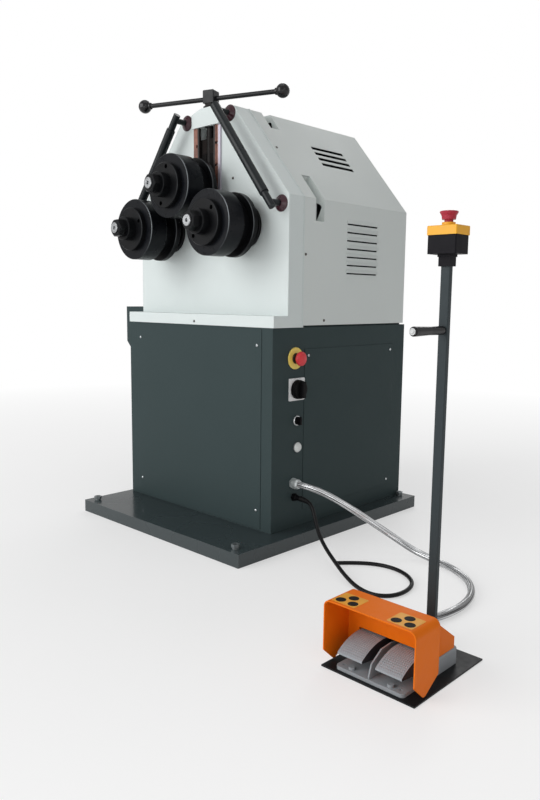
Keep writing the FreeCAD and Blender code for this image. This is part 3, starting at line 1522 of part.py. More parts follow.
def make_grip():
    """Moulded side grip on the column, with its through bolt."""
    front = column_y - column_d / 2
    r = grip_r
    profile = [(0, front), (r - 1.5, front), (r - 0.6, front - 6), (r - 1.2, front - 45), (r, front - 88),
               (r, front - grip_len + 4), (r - 3, front - grip_len), (0, front - grip_len)]
    grip = turned(profile, "y", (ped_x, 0, grip_z))
    head = turned([(0, front - grip_len - 1.6), (3, front - grip_len - 1.6), (4, front - grip_len - 0.8),
                   (4, front - grip_len + past), (0, front - grip_len + past)], "y", (ped_x, 0, grip_z))
    return fuse([grip, head])


def make_estop_box():
    """Black control box with a square sleeve below it that slips over the column."""
    sleeve_w = column_w / 2 + sleeve_wall_x
    sleeve_d = column_d / 2 + sleeve_wall_y
    out = sleeve_collar
    low = box_z - sleeve_len
    sleeve = block(ped_x - sleeve_w, column_y - sleeve_d, low,
                   ped_x + sleeve_w, column_y + sleeve_d, box_z + past)
    collar = block(ped_x - sleeve_w - out, column_y - sleeve_d - out, box_z - sleeve_collar_h,
                   ped_x + sleeve_w + out, column_y + sleeve_d + out, box_z + past)
    w = box_w / 2
    d = box_d / 2
    shell = block(ped_x - w, column_y - d, box_z, ped_x + w, column_y + d, lid_z)
    upright = [e for e in shell.Edges if e.BoundBox.ZLength > box_h / 2]
    shell = shell.makeFillet(box_round, upright)
    w -= box_t
    d -= box_t
    shell = shell.cut(block(ped_x - w, column_y - d, box_z + box_t + past,
                            ped_x + w, column_y + d, lid_z + past))
    whole = fuse([sleeve, collar, shell])
    return whole.cut(block(ped_x - column_w / 2 - seat, column_y - column_d / 2 - seat, low - past,
                           ped_x + column_w / 2 + seat, column_y + column_d / 2 + seat, column_top_z))


def make_estop_lid():
    """Yellow lid with the black neck of the stop button."""
    top = lid_z + lid_h
    w = box_w / 2 + lid_over
    d = box_d / 2 + lid_over
    lid = block(ped_x - w, column_y - d, lid_z, ped_x + w, column_y + d, top)
    rounded = [e for e in lid.Edges if e.BoundBox.ZLength > 1 or e.BoundBox.ZMin > lid_z + 1]
    lid = lid.makeFillet(lid_round, rounded)
    w = box_w / 2 - box_t
    d = box_d / 2 - box_t
    lid = lid.cut(block(ped_x - w, column_y - d, lid_z - past, ped_x + w, column_y + d, top - box_t))
    neck = rod(neck_r, (ped_x, column_y, lid_z + past), (ped_x, column_y, top + neck_h))
    return fuse([lid, neck]).cut(rod(stem_r + fit, (ped_x, column_y, lid_z),
                                     (ped_x, column_y, top + neck_h + past)))


def make_pedestal_button():
    """Red flared stop button of the pedestal."""
    neck = lid_z + lid_h + neck_h
    under = neck + press_gap
    profile = [(0, neck - stem_in), (stem_r, neck - stem_in), (stem_r, under), (12.5, under),
               (13.5, under + 7), (16.5, under + 12), (17, under + 13.5), (16, under + 15),
               (8, under + 16.5), (0, under + 17)]
    return turned(profile, "z", (ped_x, column_y, 0))


def make_foot_base():
    """Foot-switch casting: base, rear housing, divider rib, pivot ears and the pivot pin."""
    x0 = ped_x - foot_half_w
    x1 = ped_x + foot_half_w
    sole = block(x0, foot_front_y, ped_t, x1, foot_back_y, foot_top_z)
    corners = [e for e in sole.Edges
               if e.BoundBox.ZLength > foot_base_h / 2 and e.BoundBox.YMax < foot_front_y + 1]
    sole = sole.makeFillet(foot_corner_r, corners)
    house = block(x0, foot_house_y, ped_t, x1, foot_back_y, foot_sill_z)
    tops = [e for e in house.Edges if e.BoundBox.ZMin > foot_sill_z - 1 and e.BoundBox.XLength < 1]
    house = house.makeFillet(foot_house_r, tops)
    low = foot_top_z - 1
    crest = pedal_axis_z + pedal_crown
    rib = prism_x([(foot_front_y + 2, low), (foot_front_y + 2, foot_top_z + 5),
                   (pedal_front_y + 8, crest - 22), (pedal_front_y + 38, crest - 4),
                   (pedal_axis_y - 20, crest - 2), (foot_house_y + past, crest - 6),
                   (foot_house_y + past, low)], ped_x - foot_rib_w / 2, ped_x + foot_rib_w / 2)
    pieces = [sole, house, rib]
    for x in (x0, ped_x - foot_ear / 2, x1 - foot_ear):
        pieces.append(block(x, pedal_axis_y - foot_ear_front, low, x + foot_ear, foot_house_y + past,
                            pedal_axis_z + foot_ear_over))
    pieces.append(rod(pedal_pin_r, (x0 + past, pedal_axis_y, pedal_axis_z),
                      (x1 - past, pedal_axis_y, pedal_axis_z)))
    y = pedal_front_y + foot_stop_in
    for side in (-1, 1):
        x = ped_x + side * pedal_pitch / 2
        pieces.append(rod(foot_stop_r, (x, y, low), (x, y, foot_top_z + foot_stop_h)))
    base = fuse(pieces)
    y = foot_front_y + foot_hole_in
    for side in (-1, 1):
        x = ped_x + side * (foot_half_w - foot_hole_in)
        base = base.cut(rod(foot_hole_r, (x, y, low), (x, y, foot_top_z + past)))
    return base


def make_pedal(side):
    """One pedal: a curved tread with side walls, and its pivot tube."""
    x0 = ped_x + side * pedal_pitch / 2 - pedal_w / 2
    x1 = x0 + pedal_w

    def tread(drop):
        """The arc of the tread's side outline, lowered by drop: its front edge, crown and heel."""
        return (V(x0, pedal_front_y, pedal_axis_z + pedal_rise - drop),
                V(x0, pedal_front_y + pedal_len * pedal_crown_share, pedal_axis_z + pedal_crown - drop),
                V(x0, pedal_axis_y, pedal_axis_z + pedal_heel - drop))

    a, b, c = tread(0)
    low_a, low_b, low_c = tread(pedal_t)
    outline = Part.Wire([Part.Arc(a, b, c).toShape(), Part.LineSegment(c, low_c).toShape(),
                         Part.Arc(low_c, low_b, low_a).toShape(), Part.LineSegment(low_a, a).toShape()])
    skin = Part.Face(outline).extrude(V(pedal_w, 0, 0))
    heel = V(x0, pedal_axis_y, pedal_axis_z - pedal_wall_low)
    wall_outline = Part.Wire([Part.Arc(a, b, c).toShape(), Part.LineSegment(c, heel).toShape(),
                              Part.LineSegment(heel, low_a).toShape(),
                              Part.LineSegment(low_a, a).toShape()])
    wall = Part.Face(wall_outline).extrude(V(pedal_wall, 0, 0))
    tube = rod(pedal_tube_r, (x0, pedal_axis_y, pedal_axis_z), (x1, pedal_axis_y, pedal_axis_z))
    heel_web = block(x0, pedal_axis_y - pedal_wall, pedal_axis_z, x1, pedal_axis_y,
                     pedal_axis_z + pedal_heel - past)
    pedal = fuse([skin, wall, wall.translated(V(pedal_w - pedal_wall, 0, 0)), tube, heel_web])
    return pedal.cut(rod(pedal_pin_r + fit, (x0 - past, pedal_axis_y, pedal_axis_z),
                         (x1 + past, pedal_axis_y, pedal_axis_z)))


def make_pedal_guard():
    """Folded guard: an arch with pointed legs, a back wall, and a sloping rear cover."""
    t = guard_sheet
    y0 = guard_front_y
    y1 = guard_wall_y
    w = guard_half_w
    sill = foot_sill_z + seat
    low = -guard_leg_z
    outer = block(ped_x - w, y0, low, ped_x + w, y1, guard_roof_z)
    bends = [e for e in outer.Edges if e.BoundBox.YLength > guard_depth / 2 and e.BoundBox.ZMin > 0]
    outer = outer.makeFillet(guard_bend, bends)
    low -= past
    inner = block(ped_x - w + t, y0 - past, low, ped_x + w - t, y1 - t, guard_roof_z - t)
    bends = [e for e in inner.Edges if e.BoundBox.YLength > guard_depth / 2 and e.BoundBox.ZMin > 0]
    inner = inner.makeFillet(guard_bend - t, bends)
    arch = outer.cut(inner)
    tip_y = (y0 + y1) / 2 - guard_tip_back
    trim = [(y0 - past, low), (y0 - past, guard_leg_z), (y0, guard_leg_z), (tip_y, guard_tip_z),
            (tip_y + guard_tip_w, guard_tip_z), (y1, guard_leg_z), (y1 + past, guard_leg_z),
            (y1 + past, low)]
    arch = arch.cut(prism_x(trim, ped_x - w - past, ped_x + w + past))
    cover = foot_half_w - guard_cover_in
    slope = [(y1 - t, sill), (y1 - t, guard_roof_z), (guard_back_y, guard_back_z), (guard_back_y, sill)]
    rear = prism_x(slope, ped_x - cover, ped_x + cover)
    front = y1 - t - past
    hollow = [(front, sill - past), (front, guard_roof_z - t * 1.6), (y1, guard_roof_z - t * 1.6),
              (guard_back_y - t, guard_back_z - t * 0.8), (guard_back_y - t, sill - past)]
    cover -= t
    rear = rear.cut(prism_x(hollow, ped_x - cover, ped_x + cover))
    over_foot = foot_half_w + air
    whole = fuse([arch, rear])
    whole = whole.cut(block(ped_x - over_foot, front, low, ped_x + over_foot, y1 + past, sill))
    return whole.cut(block(ped_x - cover, front, sill - past, ped_x + cover, y1 + past, guard_mouth_z))


# ---- Assembly --------------------------------------------------------------------------------

def build():
    """Make every part."""
    parts["base_plate"] = make_base()
    parts["levelling_screws"] = [make_jack(x, y) for x, y in anchor_points()]
    parts["cabinet_shell"] = make_cabinet()
    parts["front_panel"], parts["side_panel"] = make_panels()
    parts["panel_screws"] = make_panel_screws()
    parts["tool_tray"] = make_tray()
    parts["contactor_panel"] = make_contactor_panel()

    parts["front_casing"] = make_casing()
    parts["front_plate"] = make_front_plate()
    parts["rear_plate"] = make_rear_plate()
    parts["tie_bars"] = make_ties()
    parts["cap_block"] = make_cap()
    rail = make_rail()
    parts["guide_rails"] = [rail, mirrored_x(rail)]
    parts["bearing_units"] = make_bearings()
    parts["hood"] = make_hood()
    parts["gearmotor"] = make_gearmotor()
    parts["guard_bars"] = make_guard_bars()
    parts["guard_bar_rosettes"] = make_guard_flanges()

    for name, x in lower_x.items():
        parts[name + "_shaft"] = make_shaft(x, lower_z, gear_y + gear_w + shaft_past_gear)
        parts[name + "_front_roll"] = make_front_roll(x, lower_z)
        parts[name + "_rear_roll"] = make_rear_roll(x, lower_z, shaft_r + roll_boss_wall,
                                                   bearing_face_y)
        parts[name + "_roll_clamp"] = make_clamp(x, lower_z, collar_turns[name])
        parts[name + "_gear"] = make_gear(name)
    parts["top_shaft"] = make_shaft(machine_x, top_z, rear_back_y + top_shaft_past)
    parts["top_front_roll"] = make_front_roll(machine_x, top_z)
    parts["top_rear_roll"] = make_rear_roll(machine_x, top_z, shaft_r + top_boss_wall,
                                            plate_y - nose_t - air)
    parts["top_roll_clamp"] = make_clamp(machine_x, top_z, collar_turns["top"])
    parts["drive_pinion"] = make_pinion()

    parts["carriage"] = make_carriage()
    parts["carriage_nut"] = make_carriage_nut()
    parts["adjusting_screw"] = make_screw()
    parts["handle_hub"] = make_hub()
    parts["handle_bar"] = rod(bar_r, *bar_ends(bar_half + bar_past))
    parts["ball_knobs"] = make_knobs()

    parts["estop_ring"] = make_estop_ring()
    parts["estop_button"] = make_estop_button()
    parts["switch_plate"] = make_switch_plate()
    parts["switch_knob"] = make_switch_knob()
    parts["selector_bezel"] = make_selector_bezel()
    parts["selector_knob"] = make_selector_knob()
    parts["pilot_lamp"] = make_lamp()
    parts["conduit_gland"] = make_conduit_gland()
    parts["lead_gland"] = make_lead_gland()
    parts["conduit"] = cord(conduit_points, conduit_r, "conduit")
    parts["supply_lead"] = cord(lead_points, lead_r, "supply_lead")

    parts["pedestal"] = make_pedestal()
    parts["column_grip"] = make_grip()
    parts["estop_box"] = make_estop_box()
    parts["estop_box_lid"] = make_estop_lid()
    parts["pedestal_button"] = make_pedestal_button()
    parts["foot_base"] = make_foot_base()
    parts["left_pedal"] = make_pedal(-1)
    parts["right_pedal"] = make_pedal(1)
    parts["pedal_guard"] = make_pedal_guard()


def write():
    """Write one STEP file for each node."""
    os.makedirs("parts", exist_ok=True)
    for name, shape in parts.items():
        if isinstance(shape, list):
            shape = Part.makeCompound(shape)
        if not shape.isValid():
            print("not valid:", name)
        shape.exportStep("parts/" + name + ".step")
        print(name, len(shape.Solids), "solids", round(shape.Volume / 1000, 1), "cm3")
    print(len(parts), "nodes")


build()
write()
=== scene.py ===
"""Ring roller: looks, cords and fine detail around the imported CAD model.  Metres, +Z up."""
import json
import math

import bmesh
import bpy
from mathutils import Matrix, Vector
from mathutils.bvhtree import BVHTree


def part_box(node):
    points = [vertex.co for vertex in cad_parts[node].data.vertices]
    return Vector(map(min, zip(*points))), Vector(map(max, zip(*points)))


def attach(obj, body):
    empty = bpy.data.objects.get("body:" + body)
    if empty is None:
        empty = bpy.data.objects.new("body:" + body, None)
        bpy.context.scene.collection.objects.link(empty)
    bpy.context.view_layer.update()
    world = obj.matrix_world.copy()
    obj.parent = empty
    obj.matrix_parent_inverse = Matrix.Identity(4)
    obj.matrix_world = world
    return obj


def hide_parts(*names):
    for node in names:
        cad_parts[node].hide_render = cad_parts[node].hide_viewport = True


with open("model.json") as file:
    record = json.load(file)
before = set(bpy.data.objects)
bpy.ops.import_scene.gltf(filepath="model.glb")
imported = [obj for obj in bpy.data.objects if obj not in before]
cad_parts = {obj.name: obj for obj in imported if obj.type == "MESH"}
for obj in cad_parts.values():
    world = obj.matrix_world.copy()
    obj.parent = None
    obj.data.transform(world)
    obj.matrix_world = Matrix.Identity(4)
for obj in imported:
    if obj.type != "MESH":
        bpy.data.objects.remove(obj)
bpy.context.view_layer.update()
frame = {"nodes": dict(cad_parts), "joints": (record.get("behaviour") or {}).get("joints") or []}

# ---- Camera ----------------------------------------------------------------------------------

CAMERA_AT = Vector((1.636, -1.614, 0.676))
CAMERA_YAW = math.radians(43.97)
CAMERA_PITCH = math.radians(-7.91)
CAMERA_ROLL = math.radians(0.59)
CAMERA_LENS = 32.65
CAMERA_SENSOR = 36.0


def make_camera():
    """The photograph's viewpoint."""
    look = Vector((-math.sin(CAMERA_YAW) * math.cos(CAMERA_PITCH),
                   math.cos(CAMERA_YAW) * math.cos(CAMERA_PITCH), math.sin(CAMERA_PITCH)))
    right = look.cross(Vector((0, 0, 1))).normalized()
    up = right.cross(look)
    right, up = (math.cos(CAMERA_ROLL) * right + math.sin(CAMERA_ROLL) * up,
                 math.cos(CAMERA_ROLL) * up - math.sin(CAMERA_ROLL) * right)
    data = bpy.data.cameras.new("camera")
    data.lens = CAMERA_LENS
    data.sensor_width = CAMERA_SENSOR
    cam = bpy.data.objects.new("camera", data)
    turn = Matrix((right, up, -look)).transposed().to_4x4()
    cam.matrix_world = Matrix.Translation(CAMERA_AT) @ turn
    bpy.context.scene.collection.objects.link(cam)
    bpy.context.scene.camera = cam


# ---- Cords -----------------------------------------------------------------------------------

ROUTE_ORDER = 3
ROUTE_STEPS = 10          # points of the smooth line for each control point
END_SHARE = 0.3           # a line's end is a station if it is this share of a step past the last one

CONDUIT_D = 0.018
CONDUIT_ROUTE = [
    (0.331, -0.141, 0.166), (0.374, -0.138, 0.165), (0.421, -0.120, 0.149), (0.470, -0.088, 0.118),
    (0.521, -0.053, 0.080), (0.571, -0.024, 0.045), (0.628, -0.009, 0.017),
    (0.688, -0.013, 0.0094), (0.748, -0.029, 0.0094), (0.803, -0.060, 0.0094),
    (0.846, -0.104, 0.0094), (0.875, -0.160, 0.0094), (0.887, -0.222, 0.0094),
    (0.883, -0.282, 0.0094), (0.872, -0.330, 0.0105), (0.881, -0.389, 0.016), (0.898, -0.446, 0.021)]
CONDUIT_STEP = 0.003
CONDUIT_SIDES = 72
FLUTES = 9
FLUTE_LEAD = 0.9          # length in which a flute goes once round
FLUTE_DEPTH = 0.0006

LEAD_D = 0.010
LEAD_ROUTE = [
    (0.332, -0.136, 0.125), (0.360, -0.136, 0.124), (0.384, -0.143, 0.110), (0.408, -0.159, 0.083),
    (0.441, -0.181, 0.055), (0.485, -0.206, 0.036), (0.535, -0.233, 0.023), (0.592, -0.264, 0.011),
    (0.651, -0.293, 0.0052), (0.705, -0.304, 0.0052), (0.740, -0.279, 0.0052),
    (0.749, -0.232, 0.0052), (0.735, -0.180, 0.0052), (0.697, -0.144, 0.0052),
    (0.650, -0.127, 0.0052), (0.600, -0.132, 0.0052), (0.552, -0.163, 0.0052),
    (0.518, -0.202, 0.0052)]
LEAD_STEP = 0.004
LEAD_SIDES = 20

BOOT_LENGTH = 0.032
BOOT_R = 0.0082           # at the gland
BOOT_TAPER = 0.0026       # radius lost along its length
BOOT_RIB = 0.004          # pitch of its moulded rings
BOOT_GROOVE = 0.0008
BOOT_GROOVE_SHARE = 0.4   # of each rib's pitch
BOOT_STEP = 0.0008
BOOT_SIDES = 28


def route_line(route):
    """The smooth line of a route: points of one open spline that has it as its control points."""
    data = bpy.data.curves.new("line", "CURVE")
    data.dimensions = "3D"
    data.resolution_u = ROUTE_STEPS
    spline = data.splines.new("NURBS")
    spline.points.add(len(route) - 1)
    for point, place in zip(spline.points, route):
        point.co = (*place, 1.0)
    spline.order_u = ROUTE_ORDER
    spline.use_endpoint_u = True
    curve = bpy.data.objects.new("line", data)
    bpy.context.scene.collection.objects.link(curve)
    mesh = bpy.data.meshes.new_from_object(curve)
    line = [v.co.copy() for v in mesh.vertices]
    bpy.data.meshes.remove(mesh)
    bpy.data.objects.remove(curve)
    return line


def even_steps(line, step):
    """Points along a line, a fixed step apart, each with its distance from the start."""
    out = [(line[0].copy(), 0.0)]
    walked = 0.0
    due = step
    for a, b in zip(line, line[1:]):
        run = (b - a).length
        while run > 0 and walked + run >= due:
            out.append((a.lerp(b, (due - walked) / run), due))
            due += step
        walked += run
    if walked - out[-1][1] > step * END_SHARE:
        out.append((line[-1].copy(), walked))
    return out


def new_object(name, bm):
    """A linked mesh object from a bmesh."""
    mesh = bpy.data.meshes.new(name)
    bm.normal_update()
    bm.to_mesh(mesh)
    bm.free()
    obj = bpy.data.objects.new(name, mesh)
    bpy.context.scene.collection.objects.link(obj)
    return obj


def sweep(name, stations, radius_at, sides):
    """A capped tube round a line.

    Its radius follows the distance and the angle, and its UVs are metres and turns.
    """
    bm = bmesh.new()
    uv = bm.loops.layers.uv.new("UVMap")
    side = None
    rings = []
    for i, (place, distance) in enumerate(stations):
        ahead = stations[min(i + 1, len(stations) - 1)][0] - stations[max(i - 1, 0)][0]
        ahead.normalize()
        if side is None:
            side = ahead.cross(Vector((0, 0, 1))).normalized()
        side = (side - ahead * side.dot(ahead)).normalized()
        other = ahead.cross(side)
        ring = []
        for k in range(sides):
            a = math.tau * k / sides
            out = math.cos(a) * side + math.sin(a) * other
            ring.append(bm.verts.new(place + radius_at(distance, a) * out))
        rings.append(ring)
    for i, (near, far) in enumerate(zip(rings, rings[1:])):
        start = stations[i][1]
        end = stations[i + 1][1]
        for k in range(sides):
            n = (k + 1) % sides
            quad = bm.faces.new((near[k], near[n], far[n], far[k]))
            quad.smooth = True
            corners = ((start, k), (start, k + 1), (end, k + 1), (end, k))
            for loop, (along, turn) in zip(quad.loops, corners):
                loop[uv].uv = (along, turn / sides)
    bm.faces.new(list(reversed(rings[0])))
    bm.faces.new(rings[-1])
    return new_object(name, bm)


def flute_radius(distance, angle):
    """The conduit's outside: shallow flutes that run lengthwise with a slow twist."""
    wave = math.cos(FLUTES * (angle + math.tau * distance / FLUTE_LEAD))
    return CONDUIT_D / 2 - FLUTE_DEPTH * (1 - wave) / 2


def boot_radius(distance, angle):
    """The lead's boot: tapered, with rings moulded round it."""
    body = BOOT_R - BOOT_TAPER * distance / BOOT_LENGTH
    in_groove = distance % BOOT_RIB < BOOT_RIB * BOOT_GROOVE_SHARE
    return body - (BOOT_GROOVE if in_groove else 0.0)


def make_cords():
    """The foot switch's steel conduit and the black supply lead with its tapered boot."""
    line = route_line(CONDUIT_ROUTE)
    hose = sweep("conduit_hose", even_steps(line, CONDUIT_STEP), flute_radius, CONDUIT_SIDES)
    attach(hose, "machine")
    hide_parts("conduit")

    line = route_line(LEAD_ROUTE)
    lead = sweep("supply_lead_sheath", even_steps(line, LEAD_STEP),
                 lambda distance, angle: LEAD_D / 2, LEAD_SIDES)
    stations = [station for station in even_steps(line, BOOT_STEP) if station[1] < BOOT_LENGTH]
    boot = sweep("lead_boot", stations, boot_radius, BOOT_SIDES)
    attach(lead, "machine")
    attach(boot, "machine")
    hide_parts("supply_lead")
    return hose, lead, boot


make_camera()
hose, lead, boot = make_cords()

# ---- Extra pieces ----------------------------------------------------------------------------

STUD_PITCH = 0.0042
STUD_FOOT = 0.0015        # half of a stud's side, at its foot and at its tip
STUD_TIP = 0.0008
STUD_HEIGHT = 0.0009
STUD_SUNK = 0.0003
TREAD_EDGE = 0.0045       # bare margin at a pedal's sides and front
TREAD_HEEL = 0.018        # and at its back

GUARD_LOW, GUARD_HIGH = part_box("pedal_guard")
ROOF_Z = GUARD_HIGH[2]
MARK_OUT = 0.0605         # each patch's middle, from the guard's
MARK_BACK = 0.0285        # and from the roof's front edge
MARK_HALF = (0.0262, 0.0228)
MARK_CORNER = 0.003
MARK_THICK = 0.0003
MARK_DISC = 0.0098
MARK_DISC_PLACES = ((-0.0138, -0.0098), (0.0138, -0.0098), (0.0, 0.0112))
MARK_DISC_SIDES = 28


def surface_of(node):
    """A tree of a CAD node's faces, to find places on it."""
    mesh = frame["nodes"][node].data
    return BVHTree.FromPolygons([v.co for v in mesh.vertices], [p.vertices for p in mesh.polygons])


def prism(bm, foot, tip):
    """Close the faces between two rings of vertices."""
    bm.faces.new(tip)
    bm.faces.new(list(reversed(foot)))
    for k in range(len(foot)):
        n = (k + 1) % len(foot)
        bm.faces.new((foot[k], foot[n], tip[n], tip[k]))


def make_tread(node, body):
    """Moulded studs in rows over a pedal's curved top."""
    low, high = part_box(node)
    tree = surface_of(node)
    bm = bmesh.new()
    width = high[0] - low[0] - 2 * TREAD_EDGE
    length = high[1] - low[1] - TREAD_EDGE - TREAD_HEEL
    columns = int(width / STUD_PITCH)
    rows = int(length / STUD_PITCH)
    for i in range(columns + 1):
        for j in range(rows + 1):
            x = low[0] + TREAD_EDGE + i * width / columns
            y = low[1] + TREAD_EDGE + j * STUD_PITCH
            place, normal, _, _ = tree.ray_cast(Vector((x, y, ROOF_Z)), Vector((0, 0, -1)))
            along = normal.cross(Vector((1, 0, 0))).normalized()
            sunk = place - normal * STUD_SUNK
            top = place + normal * STUD_HEIGHT
            foot = []
            tip = []
            for a, b in ((-1, -1), (1, -1), (1, 1), (-1, 1)):
                corner = Vector((a, 0, 0)) - b * along
                foot.append(bm.verts.new(sunk + STUD_FOOT * corner))
                tip.append(bm.verts.new(top + STUD_TIP * corner))
            prism(bm, foot, tip)
    tread = new_object(node + "_tread", bm)
    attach(tread, body)
    return tread


def flat_patch(bm, outline, z0, z1):
    """A thin closed sheet between two heights."""
    low = [bm.verts.new((x, y, z0)) for x, y in outline]
    high = [bm.verts.new((x, y, z1)) for x, y in outline]
    prism(bm, low, high)


def disc(x, y, radius):
    """The outline of a disc."""
    angles = [math.tau * k / MARK_DISC_SIDES for k in range(MARK_DISC_SIDES)]
    return [(x + radius * math.cos(a), y + radius * math.sin(a)) for a in angles]


def rounded_square(x, y, half, corner):
    """The outline of a rectangle with round corners."""
    outline = []
    for sx, sy, start in ((1, 1, 0), (-1, 1, 90), (-1, -1, 180), (1, -1, 270)):
        for turn in (0, 30, 60, 90):
            a = math.radians(start + turn)
            outline.append((x + sx * (half[0] - corner) + corner * math.cos(a),
                            y + sy * (half[1] - corner) + corner * math.sin(a)))
    return outline


def make_marks():
    """Plain square patches on the guard's roof, one over each pedal, with three dark discs each."""
    ground = bmesh.new()
    dots = bmesh.new()
    top = ROOF_Z + MARK_THICK
    y = GUARD_LOW[1] + MARK_BACK
    for side in (-1, 1):
        x = (GUARD_LOW[0] + GUARD_HIGH[0]) / 2 + side * MARK_OUT
        flat_patch(ground, rounded_square(x, y, MARK_HALF, MARK_CORNER), ROOF_Z, top)
        for dx, dy in MARK_DISC_PLACES:
            flat_patch(dots, disc(x + dx, y + dy, MARK_DISC), top, top + MARK_THICK / 2)
    made = []
    for name, bm, slot in (("guard_mark_ground", ground, "yellow_plastic"),
                           ("guard_mark_discs", dots, "black_paint")):
        piece = new_object(name, bm)
        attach(piece, "machine")
        made.append(piece)
    return made


treads = [make_tread("left_pedal", "pedal_left"), make_tread("right_pedal", "pedal_right")]
mark_ground, mark_discs = make_marks()

# ---- Materials -------------------------------------------------------------------------------


def roll_axis(joint):
    """The x and z of a roll's axis, which runs along Y."""
    place = next(j["pos_m"] for j in frame["joints"] if j["name"] == joint)
    return place[0], place[2]


ROLL_AXES = {side: roll_axis(side + "_roll_turn") for side in ("top", "right", "left")}
MACHINE_X = ROLL_AXES["top"][0]
CABINET_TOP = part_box("front_casing")[0][2]
RIGHT_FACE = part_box("cabinet_shell")[1][0]
LAMP_BEZEL = 0.0042       # thickness of the pilot lamp's bezel
FLOOR_PLATE_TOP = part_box("foot_base")[0][2]
PLATE_MARGIN = 0.0015     # black paint's edge, above the floor plate
GRIP_BOLT = 0.0018        # height of the bolt head in the grip's end
STOP_COLLAR_R = 0.0152
RAIL_SHADE = 0.0385        # rail's step with painted shade, and its pale strip, from the machine's middle
RAIL_PALE = 0.0485
FLANK_LEAN = 0.7          # faces that lean more than this to the side are a pedal's flanks

HOOD_LOW, HOOD_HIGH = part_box("hood")
HOOD_SKIN = 0.0012        # deeper than this inside the outer faces, the hood has painted shade
BACK_SKIN = 0.0015
LOUVRE_PROUD = 0.006
POCKET_REACH = 0.100      # the lifting pockets are kept free of the painted shade this far back
SHOULDER_HEIGHT = 0.950
RIDGE_HALF = 0.110
HOOD_SHOULDER = Vector(((HOOD_HIGH[0] - HOOD_LOW[0]) / 2 - LOUVRE_PROUD, SHOULDER_HEIGHT))
HOOD_RIDGE = Vector((RIDGE_HALF, HOOD_HIGH[2]))
SHADE_FRONT = HOOD_LOW[1] + POCKET_REACH
SHADE_BACK = HOOD_HIGH[1] - BACK_SKIN

PAINT_EDGE = 0.0012       # radii of the edges, as they catch the light
BASE_EDGE = 0.0014
PLASTIC_EDGE = 0.0006
STEEL_EDGE = 0.0005
EDGE_SAMPLES = 4

PAINT_CLOUDS = 2.5        # noise, in cells a metre
PAINT_SMUDGES = (9.0, 90.0)
PAINT_PEEL = 240.0
EDGE_HIGHLIGHT_PATCHES = 26.0
PLASTIC_CLOUDS = 30.0
PLASTIC_SMUDGES = 60.0
PLASTIC_GRAIN = 900.0
STEEL_CLOUDS = 14.0
STEEL_MARKS = 700.0
ZINC_MARKS = 260.0
OXIDE_CLOUDS = 12.0
OXIDE_SMUDGES = 35.0
OXIDE_GLINTS = 40.0
RAIL_STAINS = 34.0

STEEL_MARK_DEPTH = 0.00002
RING_PITCH = 0.0009       # tool rings on the rolls
RING_DEPTH = 0.000008
CHAMFER_LEAN = 0.707      # a chamfer's normal along the axis, and how far it may differ
CHAMFER_SPREAD = 0.08
GLINT_SIDE = (0.03, 0.078)  # painted highlight on chamfers grows from here to there, right of and above an axis
GLINT_UP = (-0.05, 0.01)
ALONG_Y = (1, 0.06, 1)    # noise squeezed along one axis: marks that run that way
ALONG_Z = (1, 1, 0.05)
CONDUIT_REFLECTIONS = (2.2, 26.0, 1.0)


def rgb(red, green, blue):
    """A screen colour, 0 to 255, as linear values."""
    return tuple(((c / 255 + 0.055) / 1.055) ** 2.4 if c > 10 else c / 255 / 12.92
                 for c in (red, green, blue))


